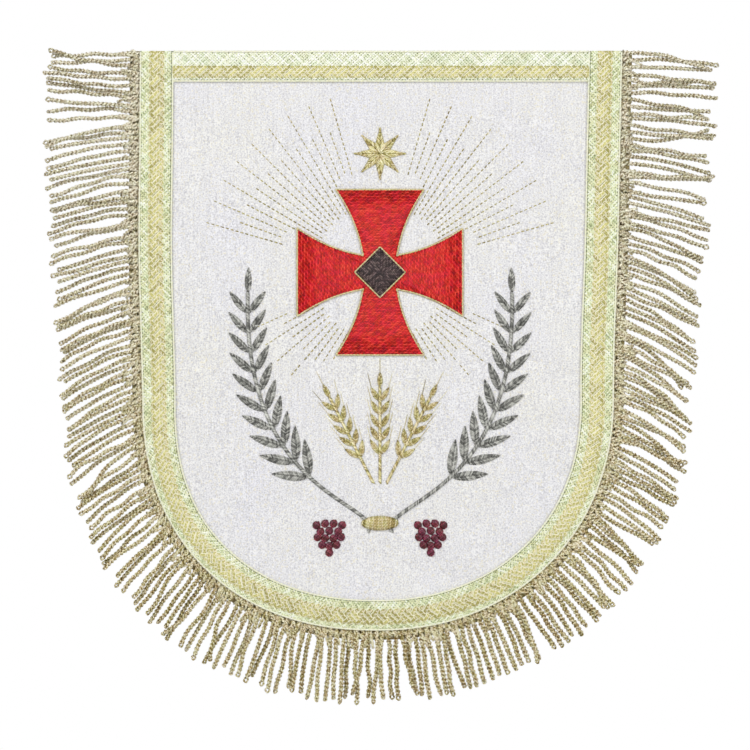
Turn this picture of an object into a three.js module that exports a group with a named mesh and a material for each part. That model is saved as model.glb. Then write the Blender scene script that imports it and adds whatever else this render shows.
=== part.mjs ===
// A church banner: a U-shaped panel of ivory cloth that hangs from its top edge, bordered with gold
// galloon, with a galloon band across its head and a cord fringe sewn behind its sides and foot.
// The emblem on its face is padded embroidery in low relief.
// Millimetres, +Z up. The origin is the middle of the top edge, inside the cloth. The face looks along -Y.

import * as THREE from "three";

const { clamp, degToRad, lerp, smoothstep } = THREE.MathUtils;

// Cloth panel
const CLOTH_THICKNESS = 1.5;
const STRAIGHT_SIDE = 258.8;
const FOOT_HALF_WIDTH = 176.8;
const FOOT_DEPTH = 175.2;
const FOOT_ROUNDNESS = { left: 2.25, right: 2.12 };
const HALF_WIDTHS = [
  { at: 0, left: 178.5, right: 183.2 },
  { at: 76, left: 179.0, right: 181.5 },
  { at: 150, left: 179.6, right: 180.0 },
  { at: 220, left: 177.9, right: 177.4 },
  { at: STRAIGHT_SIDE, left: FOOT_HALF_WIDTH, right: FOOT_HALF_WIDTH },
];
const PANEL_COLUMNS = 24;
const PANEL_ROWS = 18;

// Unevenness of the hanging cloth: flat at its head, then two slow waves
const FLAT_HEAD = 40;
const FREE_BELOW = 150;
const WAVES = [
  { height: 1.5, across: 1 / 54, down: 1 / 190, shift: 0.7 },
  { height: 0.9, across: 1 / 76, down: 1 / 46, shift: 2.1 },
];

// Galloon braid
const LAYER_GAP = 0.35;
const GALLOON_THICKNESS = 1.0;
const GALLOON_SIDE_WIDTH = 24.5;
const GALLOON_FOOT_WIDTH = 21.8;
const GALLOON_HEAD_WIDTH = 22.5;
const GALLOON_STEPS = 76;
const CENTRE_BAND = { from: 0.2, to: 0.6, slope: 0.04, height: 0.35 };

// Fringe: a tape behind the cloth's edge, and cords that leave its outer side
const TAPE_THICKNESS = 1.5;
const TAPE_BEHIND_CLOTH = 8;
const TAPE_BEYOND_EDGE = 7.5;
const CORD_PITCH = 4.8;
const CORD_WIDTH = 3.0;
const CORD_DEPTH = 2.5;
const CORD_SEGMENTS = 3;
const CORD_STAGGER = 2.1;
const CORD_UNEVEN = { reach: 3.5, lean: 1.0, bunchLean: 1.6, bunchCords: 5.3 };
// Along the edge from top left to top right: how far the cords stand out, and their lean in
// degrees from square to the edge towards straight down
const CORD_LIE = [
  { at: 0.0, reach: 69, lean: 3 },
  { at: 0.022, reach: 70, lean: -5 },
  { at: 0.036, reach: 69, lean: -6 },
  { at: 0.05, reach: 70, lean: 3 },
  { at: 0.07, reach: 69, lean: 10 },
  { at: 0.12, reach: 67, lean: 14 },
  { at: 0.2, reach: 65, lean: 21 },
  { at: 0.25, reach: 64, lean: 24 },
  { at: 0.31, reach: 60, lean: 17 },
  { at: 0.38, reach: 57, lean: 8 },
  { at: 0.45, reach: 54, lean: 2 },
  { at: 0.5, reach: 53, lean: 0 },
  { at: 0.56, reach: 53, lean: 0 },
  { at: 0.63, reach: 57, lean: 3 },
  { at: 0.69, reach: 61, lean: 11 },
  { at: 0.75, reach: 66, lean: 23 },
  { at: 0.82, reach: 67, lean: 25 },
  { at: 0.9, reach: 68, lean: 16 },
  { at: 0.95, reach: 69, lean: 9 },
  { at: 0.98, reach: 69, lean: 5 },
  { at: 1.0, reach: 69, lean: 5 },
];

// Embroidery
const STITCH_THICKNESS = 0.9;
const EMBLEM_X = 1.5;
const STAR = { z: -77, outer: 20, inner: 8.5, points: 8, crown: 0.4 };
const CROSS = { z: -166, reach: 62, waist: 12, flare: 33 };
const LOZENGE = { reach: 19, crown: 0.5 };
// A stem's four guiding points, measured from the emblem's middle line outwards and from the top edge
const STEM = [
  { out: 9, z: -361 },
  { out: -2, z: -337 },
  { out: 104, z: -337 },
  { out: 99, z: -181 },
];
// Leaves and grains stand in pairs, turned in degrees from their stem, and shrink towards its tip.
// The bare foot of a stem has its own count of bends.
const BRANCH = {
  width: 2.6,
  bends: 4,
  from: 0.3,
  pairs: 10,
  length: 27,
  widest: 7.4,
  shrink: 0.3,
  turn: 38,
  root: 1.8,
};
const TIE = { z: -354, halfWidth: 14, halfHeight: 5.5, crown: 0.3 };
const WHEAT = { z: -324, apart: 5, spread: 27, stalk: 22, ear: 50 };
const EAR = { width: 2, bends: 0, pairs: 5, length: 12.5, widest: 4.5, shrink: 0.1, turn: 31, root: 1.4 };
const GRAPES = { out: 38, z: -359, halfWidth: 14, above: 9, below: 20, bumps: 12, bump: 1.2, crown: 0.8 };

const COLOURS = {
  cloth: { color: "#e9e9e6", roughness: 0.9, metalness: 0.0 },
  galloon: { color: "#d8d6ab", roughness: 0.45, metalness: 0.5 },
  fringe: { color: "#b5a672", roughness: 0.5, metalness: 0.4 },
  red: { color: "#c82a2b", roughness: 0.5, metalness: 0.0 },
  brown: { color: "#4b3736", roughness: 0.6, metalness: 0.0 },
  silver: { color: "#8c8c84", roughness: 0.5, metalness: 0.3 },
  gold: { color: "#e6dfa4", roughness: 0.45, metalness: 0.4 },
  wine: { color: "#6e1a2e", roughness: 0.5, metalness: 0.0 },
};

// Reads a column of a table whose rows are ordered by `at`, along a smooth curve through them.
function readTable(rows, at, column) {
  const last = rows.length - 1;
  let row = 0;
  while (row < last - 1 && at > rows[row + 1].at) row += 1;
  const slope = (i) => {
    const before = rows[Math.max(i - 1, 0)];
    const after = rows[Math.min(i + 1, last)];
    return (after[column] - before[column]) / (after.at - before.at);
  };
  const span = rows[row + 1].at - rows[row].at;
  const t = clamp((at - rows[row].at) / span, 0, 1);
  const rise = t * t * (3 - 2 * t);
  const leave = t * (1 - t) * (1 - t) * span * slope(row);
  const arrive = t * t * (t - 1) * span * slope(row + 1);
  return lerp(rows[row][column], rows[row + 1][column], rise) + leave + arrive;
}

// A fixed number between -1 and 1 for each piece and purpose.
function uneven(piece, purpose) {
  const value = Math.sin(piece * 12.9898 + purpose * 78.233) * 43758.5453;
  return 2 * (value - Math.floor(value)) - 1;
}

// How far the cloth stands back from its plane at x, z.
function billow(x, z) {
  const freed = smoothstep(-z, FLAT_HEAD, FREE_BELOW);
  let depth = 0;
  for (const wave of WAVES) {
    depth += wave.height * Math.sin(x * wave.across + z * wave.down + wave.shift);
  }
  return freed * depth;
}

// The point at x, z that lies `forward` in front of the cloth's middle layer.
function onCloth(x, z, forward) {
  return new THREE.Vector3(x, billow(x, z) - forward, z);
}

// The cut edge of the cloth, down the left side, round the foot and up the right side.
class ClothEdge extends THREE.Curve {
  getPoint(t, point = new THREE.Vector3()) {
    const side = t < 0.5 ? "left" : "right";
    const sign = t < 0.5 ? -1 : 1;
    const share = 0.25;
    const run = Math.min(t, 1 - t);
    if (run < share) {
      const down = (STRAIGHT_SIDE * run) / share;
      return point.set(sign * readTable(HALF_WIDTHS, down, side), 0, -down);
    }
    const angle = (((run - share) / (0.5 - share)) * Math.PI) / 2;
    const power = 2 / FOOT_ROUNDNESS[side];
    const out = Math.max(Math.cos(angle), 0) ** power;
    const down = Math.sin(angle) ** power;
    return point.set(sign * FOOT_HALF_WIDTH * out, 0, -STRAIGHT_SIDE - FOOT_DEPTH * down);
  }
}

const edge = new ClothEdge();
edge.arcLengthDivisions = 1200;
const edgeLength = edge.getLength();

// The point `out` beyond the cloth's edge, at a share of its length, with the outward direction.
function besideEdge(share, out) {
  const point = edge.getPointAt(share);
  const along = edge.getTangentAt(share);
  const away = new THREE.Vector3(along.z, 0, -along.x);
  const x = point.x + away.x * out;
  const z = Math.min(point.z + away.z * out, 0);
  return { x, z, away };
}

// A geometry from a list of points and of faces, each face a list of three or four points' places.
function closedMesh(points, faces) {
  const index = [];
  for (const face of faces) {
    index.push(face[0], face[1], face[2]);
    if (face.length === 4) index.push(face[0], face[2], face[3]);
  }
  const geometry = new THREE.BufferGeometry().setFromPoints(points);
  geometry.setIndex(index);
  geometry.computeVertexNormals();
  return geometry;
}

// A sheet over a grid of shares: `spot` gives x and z, `front` and `back` how far forward it lies.
// The second share runs down or outwards, so that the front looks along -Y.
function sheet(acrossShares, downShares, spot, front, back) {
  const points = [];
  const faces = [];
  const columns = acrossShares.length;
  const rows = downShares.length;
  for (const layer of [front, back]) {
    for (const u of acrossShares) {
      for (const v of downShares) {
        const { x, z } = spot(u, v);
        points.push(onCloth(x, z, layer(u, v)));
      }
    }
  }
  const backStart = columns * rows;
  const place = (i, j) => i * rows + j;
  for (let i = 0; i < columns - 1; i += 1) {
    for (let j = 0; j < rows - 1; j += 1) {
      const cell = [place(i, j), place(i, j + 1), place(i + 1, j + 1), place(i + 1, j)];
      faces.push(cell);
      faces.push(cell.map((p) => p + backStart).reverse());
    }
  }
  const wall = (a, b) => faces.push([b, a, a + backStart, b + backStart]);
  for (let i = 0; i < columns - 1; i += 1) {
    wall(place(i + 1, 0), place(i, 0));
    wall(place(i, rows - 1), place(i + 1, rows - 1));
  }
  for (let j = 0; j < rows - 1; j += 1) {
    wall(place(0, j), place(0, j + 1));
    wall(place(columns - 1, j + 1), place(columns - 1, j));
  }
  return closedMesh(points, faces);
}

function evenShares(steps) {
  return Array.from({ length: steps + 1 }, (_, i) => i / steps);
}

// Grows a shoot out of four corners through the sections that follow, and closes its end.
// Corners run: first side's front, second side's front, second side's back, first side's back.
function grow(points, faces, root, sections) {
  let ring = root;
  for (const corners of sections) {
    const next = corners.map((corner) => points.push(corner) - 1);
    for (let k = 0; k < 4; k += 1) {
      const n = (k + 1) % 4;
      faces.push([ring[k], next[k], next[n], ring[n]]);
    }
    ring = next;
  }
  faces.push([ring[0], ring[3], ring[2], ring[1]]);
}

// A ribbon with shoots along its sides, as one closed surface. `sideAt` gives x and z of its
// left (-1) or right (1) side at a share of its length, seen from the front along its run.
// Each shoot opens the sides it grows from between its start and its end.
function ribbon({ sideAt, front, back, shoots, tip = [] }) {
  const points = [];
  const faces = [];
  const station = (share) => {
    const left = sideAt(share, -1);
    const right = sideAt(share, 1);
    const corners = [
      onCloth(left.x, left.z, front),
      onCloth(right.x, right.z, front),
      onCloth(right.x, right.z, back),
      onCloth(left.x, left.z, back),
    ];
    return corners.map((corner) => points.push(corner) - 1);
  };
  const stretch = (a, b, left, right) => {
    faces.push([a[0], a[1], b[1], b[0]]);
    faces.push([a[2], a[3], b[3], b[2]]);
    if (right) grow(points, faces, [a[1], b[1], b[2], a[2]], right);
    else faces.push([a[1], a[2], b[2], b[1]]);
    if (left) grow(points, faces, [b[0], a[0], a[3], b[3]], left);
    else faces.push([a[3], a[0], b[0], b[3]]);
  };
  let last = station(0);
  faces.push([last[0], last[3], last[2], last[1]]);
  for (const shoot of shoots) {
    const start = station(shoot.start);
    const end = station(shoot.end);
    stretch(last, start);
    stretch(start, end, shoot.left, shoot.right);
    last = end;
  }
  const close = station(1);
  stretch(last, close);
  grow(points, faces, [close[1], close[0], close[3], close[2]], tip);
  return closedMesh(points, faces);
}

// The cloth: columns hang from the straight top edge to the edge of the foot.
function panel() {
  const spot = (u, v) => {
    const angle = Math.PI * (1 - u);
    const side = u < 0.5 ? "left" : "right";
    const outward = Math.abs(Math.cos(angle));
    const sign = u < 0.5 ? -1 : 1;
    const power = FOOT_ROUNDNESS[side];
    const drop = Math.max(1 - outward ** power, 0) ** (1 / power);
    const down = v * (STRAIGHT_SIDE + FOOT_DEPTH * drop);
    const halfWidth = readTable(HALF_WIDTHS, Math.min(down, STRAIGHT_SIDE), side);
    return { x: sign * outward * halfWidth, z: -down };
  };
  return sheet(
    evenShares(PANEL_COLUMNS),
    evenShares(PANEL_ROWS),
    spot,
    () => CLOTH_THICKNESS / 2,
    () => -CLOTH_THICKNESS / 2,
  );
}

const galloonBack = CLOTH_THICKNESS / 2 + LAYER_GAP;

// A braid's face stands proud along its centre band; the share runs from its inner edge outwards.
function galloonFace(u, v) {
  const { from, to, height } = CENTRE_BAND;
  const onBand = v >= from && v <= to;
  return galloonBack + GALLOON_THICKNESS + (onBand ? height : 0);
}

function galloonShares() {
  const { from, to, slope } = CENTRE_BAND;
  return [0, from - slope, from, to, to + slope, 1];
}

// The braid down both sides and round the foot, its outer edge on the cloth's edge.
function borderGalloon() {
  const width = (u) => {
    const atFoot = smoothstep(Math.min(u, 1 - u), 0.22, 0.36);
    return lerp(GALLOON_SIDE_WIDTH, GALLOON_FOOT_WIDTH, atFoot);
  };
  return sheet(
    evenShares(GALLOON_STEPS),
    galloonShares(),
    (u, v) => besideEdge(u, (v - 1) * width(u)),
    galloonFace,
    () => galloonBack,
  );
}

// The braid across the head, between the two sides of the border.
function headGalloon() {
  const inset = GALLOON_SIDE_WIDTH + LAYER_GAP;
  const spot = (u, v) => {
    const down = v * GALLOON_HEAD_WIDTH;
    const left = inset - readTable(HALF_WIDTHS, down, "left");
    const right = readTable(HALF_WIDTHS, down, "right") - inset;
    return { x: lerp(left, right, u), z: -down };
  };
  return sheet(evenShares(14), galloonShares(), spot, galloonFace, () => galloonBack);
}

// The sections of a cord from its root on the tape to its end.
function cordSections(number, count) {
  const at = (number + 0.5) / count;
  const root = besideEdge(at, TAPE_BEYOND_EDGE);
  const { reach: reachRange, lean: leanRange, bunchLean, bunchCords } = CORD_UNEVEN;
  const bunch = Math.sin(number / bunchCords) * Math.sin(number / (2.3 * bunchCords));
  const lean = readTable(CORD_LIE, at, "lean") + bunchLean * bunch + leanRange * uneven(number, 1);
  const reach = readTable(CORD_LIE, at, "reach") - TAPE_BEYOND_EDGE + reachRange * uneven(number, 2);
  const towardsDown = at < 0.5 ? 1 : -1;
  const stagger = number % 2 ? CORD_STAGGER : -CORD_STAGGER;
  const tapeMiddle = -CLOTH_THICKNESS / 2 - LAYER_GAP - TAPE_THICKNESS / 2;
  const tapeDepth = billow(root.x, root.z);
  const depth = new THREE.Vector3(0, CORD_DEPTH / 2, 0);
  const sections = [];
  for (let step = 1; step <= CORD_SEGMENTS; step += 1) {
    const share = step / CORD_SEGMENTS;
    const turn = -towardsDown * degToRad(lean * (0.7 + 0.35 * share));
    const heading = root.away.clone().applyAxisAngle(new THREE.Vector3(0, 1, 0), turn);
    const forward = tapeMiddle + stagger * smoothstep(share, 0, 0.75);
    const centre = new THREE.Vector3(root.x, tapeDepth - forward, root.z);
    centre.addScaledVector(heading, reach * share);
    const side = new THREE.Vector3(-heading.z, 0, heading.x).multiplyScalar(CORD_WIDTH / 2);
    sections.push([
      centre.clone().sub(side).sub(depth),
      centre.clone().add(side).sub(depth),
      centre.clone().add(side).add(depth),
      centre.clone().sub(side).add(depth),
    ]);
  }
  return sections;
}

// The tape and its cords: each cord grows out of its own stretch of the tape's outer side.
function fringe() {
  const count = Math.round(edgeLength / CORD_PITCH);
  const rootHalf = CORD_WIDTH / 2 / edgeLength;
  const front = -CLOTH_THICKNESS / 2 - LAYER_GAP;
  const shoots = [];
  for (let number = 0; number < count; number += 1) {
    const middle = (number + 0.5) / count;
    shoots.push({ start: middle - rootHalf, end: middle + rootHalf, right: cordSections(number, count) });
  }
  return ribbon({
    sideAt: (share, hand) => besideEdge(share, hand < 0 ? -TAPE_BEHIND_CLOTH : TAPE_BEYOND_EDGE),
    front,
    back: front - TAPE_THICKNESS,
    shoots,
  });
}

// A patch of stitches on the cloth. `reachAt` gives its outline by the angle round its middle,
// `steps` is the count of angles, and its face swells by `crown` towards the middle.
function patch({ x, z, reachAt, steps, rings = 1, crown = 0, base = galloonBack }) {
  const points = [];
  const faces = [];
  for (const layer of ["front", "back"]) {
    const forward = (ring) => {
      const swell = STITCH_THICKNESS + crown * (1 - (ring / rings) ** 2);
      return layer === "front" ? base + swell : base;
    };
    points.push(onCloth(x, z, forward(0)));
    for (let ring = 1; ring <= rings; ring += 1) {
      for (let step = 0; step < steps; step += 1) {
        const angle = (2 * Math.PI * step) / steps;
        const reach = (reachAt(angle) * ring) / rings;
        const px = x + reach * Math.cos(angle);
        const pz = z + reach * Math.sin(angle);
        points.push(onCloth(px, pz, forward(ring)));
      }
    }
  }
  const layerSize = 1 + rings * steps;
  const place = (ring, step) => 1 + (ring - 1) * steps + (step % steps);
  for (let step = 0; step < steps; step += 1) {
    const faceList = [[0, place(1, step), place(1, step + 1)]];
    for (let ring = 1; ring < rings; ring += 1) {
      const [inner, outer] = [ring, ring + 1];
      faceList.push([place(inner, step), place(outer, step), place(outer, step + 1), place(inner, step + 1)]);
    }
    for (const face of faceList) {
      faces.push(face);
      faces.push(face.map((p) => p + layerSize).reverse());
    }
    const a = place(rings, step);
    const b = place(rings, step + 1);
    faces.push([b, a, a + layerSize, b + layerSize]);
  }
  return closedMesh(points, faces);
}

const stitchFace = galloonBack + STITCH_THICKNESS;

// The sections of a leaf or grain that lies on the cloth, from its foot to its point.
function leafSections(foot, turn, length, widest) {
  const shape = [
    { share: 0.28, width: 0.8 },
    { share: 0.62, width: 1 },
    { share: 1, width: 0.12 },
  ];
  const heading = new THREE.Vector2(Math.cos(turn), Math.sin(turn));
  return shape.map(({ share, width }) => {
    const middle = foot.clone().addScaledVector(heading, length * share);
    const sideX = (-heading.y * widest * width) / 2;
    const sideZ = (heading.x * widest * width) / 2;
    return [
      onCloth(middle.x - sideX, middle.y - sideZ, stitchFace),
      onCloth(middle.x + sideX, middle.y + sideZ, stitchFace),
      onCloth(middle.x + sideX, middle.y + sideZ, galloonBack),
      onCloth(middle.x - sideX, middle.y - sideZ, galloonBack),
    ];
  });
}

// A stitched stem along a curve, with pairs of leaves or grains from a share of its length on.
function leafyStem(curve, { width, bends, from, pairs, length, widest, shrink, turn, root }) {
  const rootHalf = root / 2 / curve.getLength();
  const sideAt = (share, hand) => {
    const point = curve.getPointAt(share);
    const along = curve.getTangentAt(share);
    return { x: point.x + (hand * along.y * width) / 2, z: point.y - (hand * along.x * width) / 2 };
  };
  const shoots = [];
  for (let bend = 1; bend <= bends; bend += 1) {
    const share = (from * bend) / (bends + 1);
    shoots.push({ start: share - rootHalf, end: share + rootHalf });
  }
  for (let pair = 0; pair < pairs; pair += 1) {
    const share = from + ((1 - from) * pair) / pairs;
    const along = curve.getTangentAt(share).angle();
    const size = 1 - (shrink * pair) / pairs;
    const sections = (hand) => {
      const foot = sideAt(share, hand);
      const heading = along - hand * degToRad(turn);
      return leafSections(new THREE.Vector2(foot.x, foot.z), heading, length * size, widest * size);
    };
    shoots.push({ start: share - rootHalf, end: share + rootHalf, left: sections(-1), right: sections(1) });
  }
  const size = 1 - shrink;
  const tip = leafSections(curve.getPointAt(1), curve.getTangentAt(1).angle(), length * size, widest * size);
  return ribbon({ sideAt, front: stitchFace, back: galloonBack, shoots, tip });
}

// Cross with arms that widen towards their ends.
function emblemCross() {
  const { reach, waist, flare, z } = CROSS;
  const widening = (flare - waist) / reach ** 2;
  const quarter = Math.PI / 2;
  const reachAt = (angle) => {
    const fromArm = Math.abs(angle - quarter * Math.round(angle / quarter));
    const slope = Math.tan(fromArm);
    if (slope <= flare / reach) return reach / Math.cos(fromArm);
    const alongArm = (slope - Math.sqrt(slope ** 2 - 4 * widening * waist)) / (2 * widening);
    return alongArm / Math.cos(fromArm);
  };
  return patch({ x: EMBLEM_X, z, reachAt, steps: 48, rings: 3 });
}

const overStitches = stitchFace + LAYER_GAP;

// Lozenge worked over the middle of the cross.
function emblemLozenge() {
  const reachAt = (angle) => LOZENGE.reach / (Math.abs(Math.cos(angle)) + Math.abs(Math.sin(angle)));
  return patch({ x: EMBLEM_X, z: CROSS.z, reachAt, steps: 8, crown: LOZENGE.crown, base: overStitches });
}

// Star with narrow points, above the cross.
function emblemStar() {
  const { outer, inner, points, z } = STAR;
  const steps = 2 * points;
  const reachAt = (angle) => (Math.round((angle / (2 * Math.PI)) * steps) % 2 ? inner : outer);
  return patch({ x: EMBLEM_X, z, reachAt, steps, crown: STAR.crown });
}

// Leafy branch that rises beside the cross, to the left (-1) or right (1).
function branch(side) {
  const [start, first, second, stop] = STEM.map(
    ({ out, z }) => new THREE.Vector2(EMBLEM_X + side * out, z),
  );
  return leafyStem(new THREE.CubicBezierCurve(start, first, second, stop), BRANCH);
}

// Oval tie worked over the feet of both branches.
function branchTie() {
  const { halfWidth, halfHeight, z, crown } = TIE;
  const reachAt = (angle) => 1 / Math.hypot(Math.cos(angle) / halfWidth, Math.sin(angle) / halfHeight);
  return patch({ x: EMBLEM_X, z, reachAt, steps: 12, crown, base: overStitches });
}

// Ear of wheat in a fan of three: left (-1), middle (0) or right (1).
function wheatEar(fan) {
  const turn = degToRad(90 - fan * WHEAT.spread);
  const foot = new THREE.Vector2(EMBLEM_X + fan * WHEAT.apart, WHEAT.z);
  const length = WHEAT.stalk + WHEAT.ear;
  const top = new THREE.Vector2(foot.x + Math.cos(turn) * length, foot.y + Math.sin(turn) * length);
  return leafyStem(new THREE.LineCurve(foot, top), { ...EAR, from: WHEAT.stalk / length });
}

// Bunch of grapes: a swelling patch with a scalloped edge, round above and pointed below.
function grapes(side) {
  const { out, z, halfWidth, above, below, bumps, bump, crown } = GRAPES;
  const reachAt = (angle) => {
    const isBelow = Math.sin(angle) < 0;
    const height = isBelow ? below : above;
    const power = isBelow ? 1.3 : 2.4;
    const across = Math.abs(Math.cos(angle) / halfWidth) ** power;
    const upright = Math.abs(Math.sin(angle) / height) ** power;
    const scallop = bump * (0.5 + 0.5 * Math.cos(bumps * (angle + Math.PI / 2)));
    return (across + upright) ** (-1 / power) - scallop;
  };
  return patch({ x: EMBLEM_X + side * out, z, reachAt, steps: 36, rings: 2, crown });
}

const banner = new THREE.Group();

function add(name, geometry, look) {
  const mesh = new THREE.Mesh(geometry, new THREE.MeshStandardMaterial(look));
  mesh.name = name;
  banner.add(mesh);
}

add("panel", panel(), COLOURS.cloth);
add("galloon_border", borderGalloon(), COLOURS.galloon);
add("galloon_head", headGalloon(), COLOURS.galloon);
add("fringe", fringe(), COLOURS.fringe);
add("star", emblemStar(), COLOURS.gold);
add("cross", emblemCross(), COLOURS.red);
add("lozenge", emblemLozenge(), COLOURS.brown);
add("branch_left", branch(-1), COLOURS.silver);
add("branch_right", branch(1), COLOURS.silver);
add("tie", branchTie(), COLOURS.gold);
add("wheat_left", wheatEar(-1), COLOURS.gold);
add("wheat_middle", wheatEar(0), COLOURS.gold);
add("wheat_right", wheatEar(1), COLOURS.gold);
add("grapes_left", grapes(-1), COLOURS.wine);
add("grapes_right", grapes(1), COLOURS.wine);

export default banner;
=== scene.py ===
"""A church banner that hangs from its top edge: a U of ivory linen with a gold galloon, a twisted
cord fringe and an embroidered emblem. Shapes are worked out in millimetres and put into their meshes
in metres. The origin is the middle of the top edge, inside the cloth, and the face looks along -Y."""

import bpy
import numpy as np
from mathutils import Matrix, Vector


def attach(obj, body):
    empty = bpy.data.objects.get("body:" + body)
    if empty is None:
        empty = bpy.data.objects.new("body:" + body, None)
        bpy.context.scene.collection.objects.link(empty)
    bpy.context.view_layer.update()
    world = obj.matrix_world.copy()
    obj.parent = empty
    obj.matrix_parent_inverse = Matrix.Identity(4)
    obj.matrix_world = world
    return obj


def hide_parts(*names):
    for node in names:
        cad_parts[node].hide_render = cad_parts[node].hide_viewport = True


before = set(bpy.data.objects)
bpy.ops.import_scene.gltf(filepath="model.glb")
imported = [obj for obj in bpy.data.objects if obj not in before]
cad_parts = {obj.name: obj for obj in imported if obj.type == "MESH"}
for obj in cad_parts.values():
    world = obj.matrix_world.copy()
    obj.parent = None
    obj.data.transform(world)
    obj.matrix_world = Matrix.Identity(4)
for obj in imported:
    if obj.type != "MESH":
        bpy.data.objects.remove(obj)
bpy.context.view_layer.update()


# Camera: square on to the banner's face, from far enough away that its sides show no slant.
# The picture is 750 by 750 pixels and shows 0.75 mm of the banner's plane in each.
MM = 0.001
PICTURE_PX = 750
MM_PER_PX = 0.75
MIDDLE_PX = 378
TOP_EDGE_PX = 51
CAMERA_DISTANCE = 3.2
SENSOR_MM = 36

camera_data = bpy.data.cameras.new("camera")
camera_data.sensor_width = SENSOR_MM
camera_data.lens = SENSOR_MM * CAMERA_DISTANCE / (PICTURE_PX * MM_PER_PX * MM)
camera = bpy.data.objects.new("camera", camera_data)
camera.location = (
    (PICTURE_PX / 2 - MIDDLE_PX) * MM_PER_PX * MM,
    -CAMERA_DISTANCE,
    -(PICTURE_PX / 2 - TOP_EDGE_PX) * MM_PER_PX * MM,
)
camera.rotation_euler = (np.pi / 2, 0, 0)
bpy.context.collection.objects.link(camera)
bpy.context.scene.camera = camera


# Studio: a pale painted floor below the banner, one large soft key light from the upper left, a
# weaker fill from the right, and a white surround. Colours are kept as they are under white light.
FLOOR_Z = -1.3
FLOOR_HALF = 6.0
LAMPS = {
    "key": {"at": (-1.5, -2.0, 1.4), "size": 1.1, "power": 40},
    "fill": {"at": (1.8, -2.2, 0.3), "size": 0.9, "power": 28},
    "back": {"at": (0.6, 2.4, 1.2), "size": 1.2, "power": 24},
}
LAMPS_AIM = (0, 0, -0.24)
SURROUND_LIGHT = 0.4

bpy.context.scene.view_settings.view_transform = "Standard"


def linear(colour):
    """An sRGB hex value as linear red, green, blue and alpha: each channel c below 0.04 is divided
    by 12.92, and any other becomes ((c + 0.055) / 1.055) to the power 2.4."""
    channels = np.array([int(colour[i : i + 2], 16) for i in (1, 3, 5)]) / 255
    bent = np.where(channels < 0.04, channels / 12.92, ((channels + 0.055) / 1.055) ** 2.4)
    return (*bent, 1.0)


def add_node(tree, kind, inputs=None, **settings):
    """Adds a node to a tree with its settings. Each of its inputs gets a value, another node's
    output, or another node, which stands for the first output that it uses."""
    node = tree.nodes.new(kind)
    for name, value in settings.items():
        setattr(node, name, value)
    for name, value in (inputs or {}).items():
        if isinstance(value, bpy.types.Node):
            value = next(output for output in value.outputs if output.enabled)
        if isinstance(value, bpy.types.NodeSocket):
            tree.links.new(value, node.inputs[name])
        else:
            node.inputs[name].default_value = value
    return node


def new_material(name):
    """An empty node material with its shader joined to its output, as (material, tree, shader)."""
    material = bpy.data.materials.new(name)
    material.use_nodes = True
    tree = material.node_tree
    tree.nodes.clear()
    shader = add_node(tree, "ShaderNodeBsdfPrincipled")
    add_node(tree, "ShaderNodeOutputMaterial", {"Surface": shader})
    return material, tree, shader


for name, lamp in LAMPS.items():
    light = bpy.data.lights.new(name, "AREA")
    light.size = lamp["size"]
    light.energy = lamp["power"]
    holder = bpy.data.objects.new(name, light)
    holder.location = lamp["at"]
    aim = Vector(LAMPS_AIM) - Vector(lamp["at"])
    holder.rotation_euler = aim.to_track_quat("-Z", "Y").to_euler()
    bpy.context.collection.objects.link(holder)

world = bpy.data.worlds.new("white surround")
world.use_nodes = True
bpy.context.scene.world = world
surround = world.node_tree
surround.nodes.clear()
ray = add_node(surround, "ShaderNodeLightPath").outputs["Is Camera Ray"]
strength = add_node(surround, "ShaderNodeMapRange", {"Value": ray, "To Min": SURROUND_LIGHT, "To Max": 1.0})
glow = add_node(surround, "ShaderNodeBackground", {"Color": linear("#ffffff"), "Strength": strength})
add_node(surround, "ShaderNodeOutputWorld", {"Surface": glow})

floor_mesh = bpy.data.meshes.new("floor")
corners = [(x * FLOOR_HALF, y * FLOOR_HALF, FLOOR_Z) for x, y in ((-1, -1), (1, -1), (1, 1), (-1, 1))]
floor_mesh.from_pydata(corners, [], [(0, 1, 2, 3)])
floor = bpy.data.objects.new("floor", floor_mesh)
bpy.context.collection.objects.link(floor)
# Emulsion paint: matt, with the faint mottle that a roller leaves.
paint, tree, shader = new_material("matt floor paint")
where = add_node(tree, "ShaderNodeTexCoord").outputs["Object"]
mottle = add_node(tree, "ShaderNodeTexNoise", {"Vector": where, "Scale": 3.0})
shades = {0: mottle, 6: linear("#eeeeec"), 7: linear("#f6f6f5")}
tint = add_node(tree, "ShaderNodeMix", shades, data_type="RGBA")
tree.links.new(tint.outputs[2], shader.inputs["Base Color"])
shader.inputs["Roughness"].default_value = 0.85
floor_mesh.materials.append(paint)


# Cloth: one layer of ivory slub linen, its edges turned under, cut as a U and hung from its head.
# It is nearly flat, with two slow waves and small puckers where the braid and stitches pull it.
CLOTH_THICKNESS = 1.5
STRAIGHT_SIDE = 258.8
FOOT_HALF_WIDTH = 176.8
FOOT_DEPTH = 175.2
FOOT_ROUNDNESS_LEFT = 2.25
FOOT_ROUNDNESS_RIGHT = 2.12
HALF_WIDTHS = {
    "at": [0, 76, 150, 220, STRAIGHT_SIDE],
    "left": [178.5, 179.0, 179.6, 177.9, FOOT_HALF_WIDTH],
    "right": [183.2, 181.5, 180.0, 177.4, FOOT_HALF_WIDTH],
}
FLAT_HEAD = 40
FREE_BELOW = 150
WAVES = [
    {"height": 1.5, "across": 1 / 54, "down": 1 / 190, "shift": 0.7},
    {"height": 0.9, "across": 1 / 76, "down": 1 / 46, "shift": 2.1},
]
CLOTH_COLUMNS = 110
CLOTH_ROWS = 96
SEAM_INSET = 23
PUCKER = {"height": 0.34, "wave": 12.5, "reach": 14}
PULL = {"x": 1.5, "z": -166, "radius": 66, "height": 0.3, "wave": 17, "reach": 20}
CREEP_HEIGHT = 0.22
LIFT_SHARE = 0.8
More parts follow.
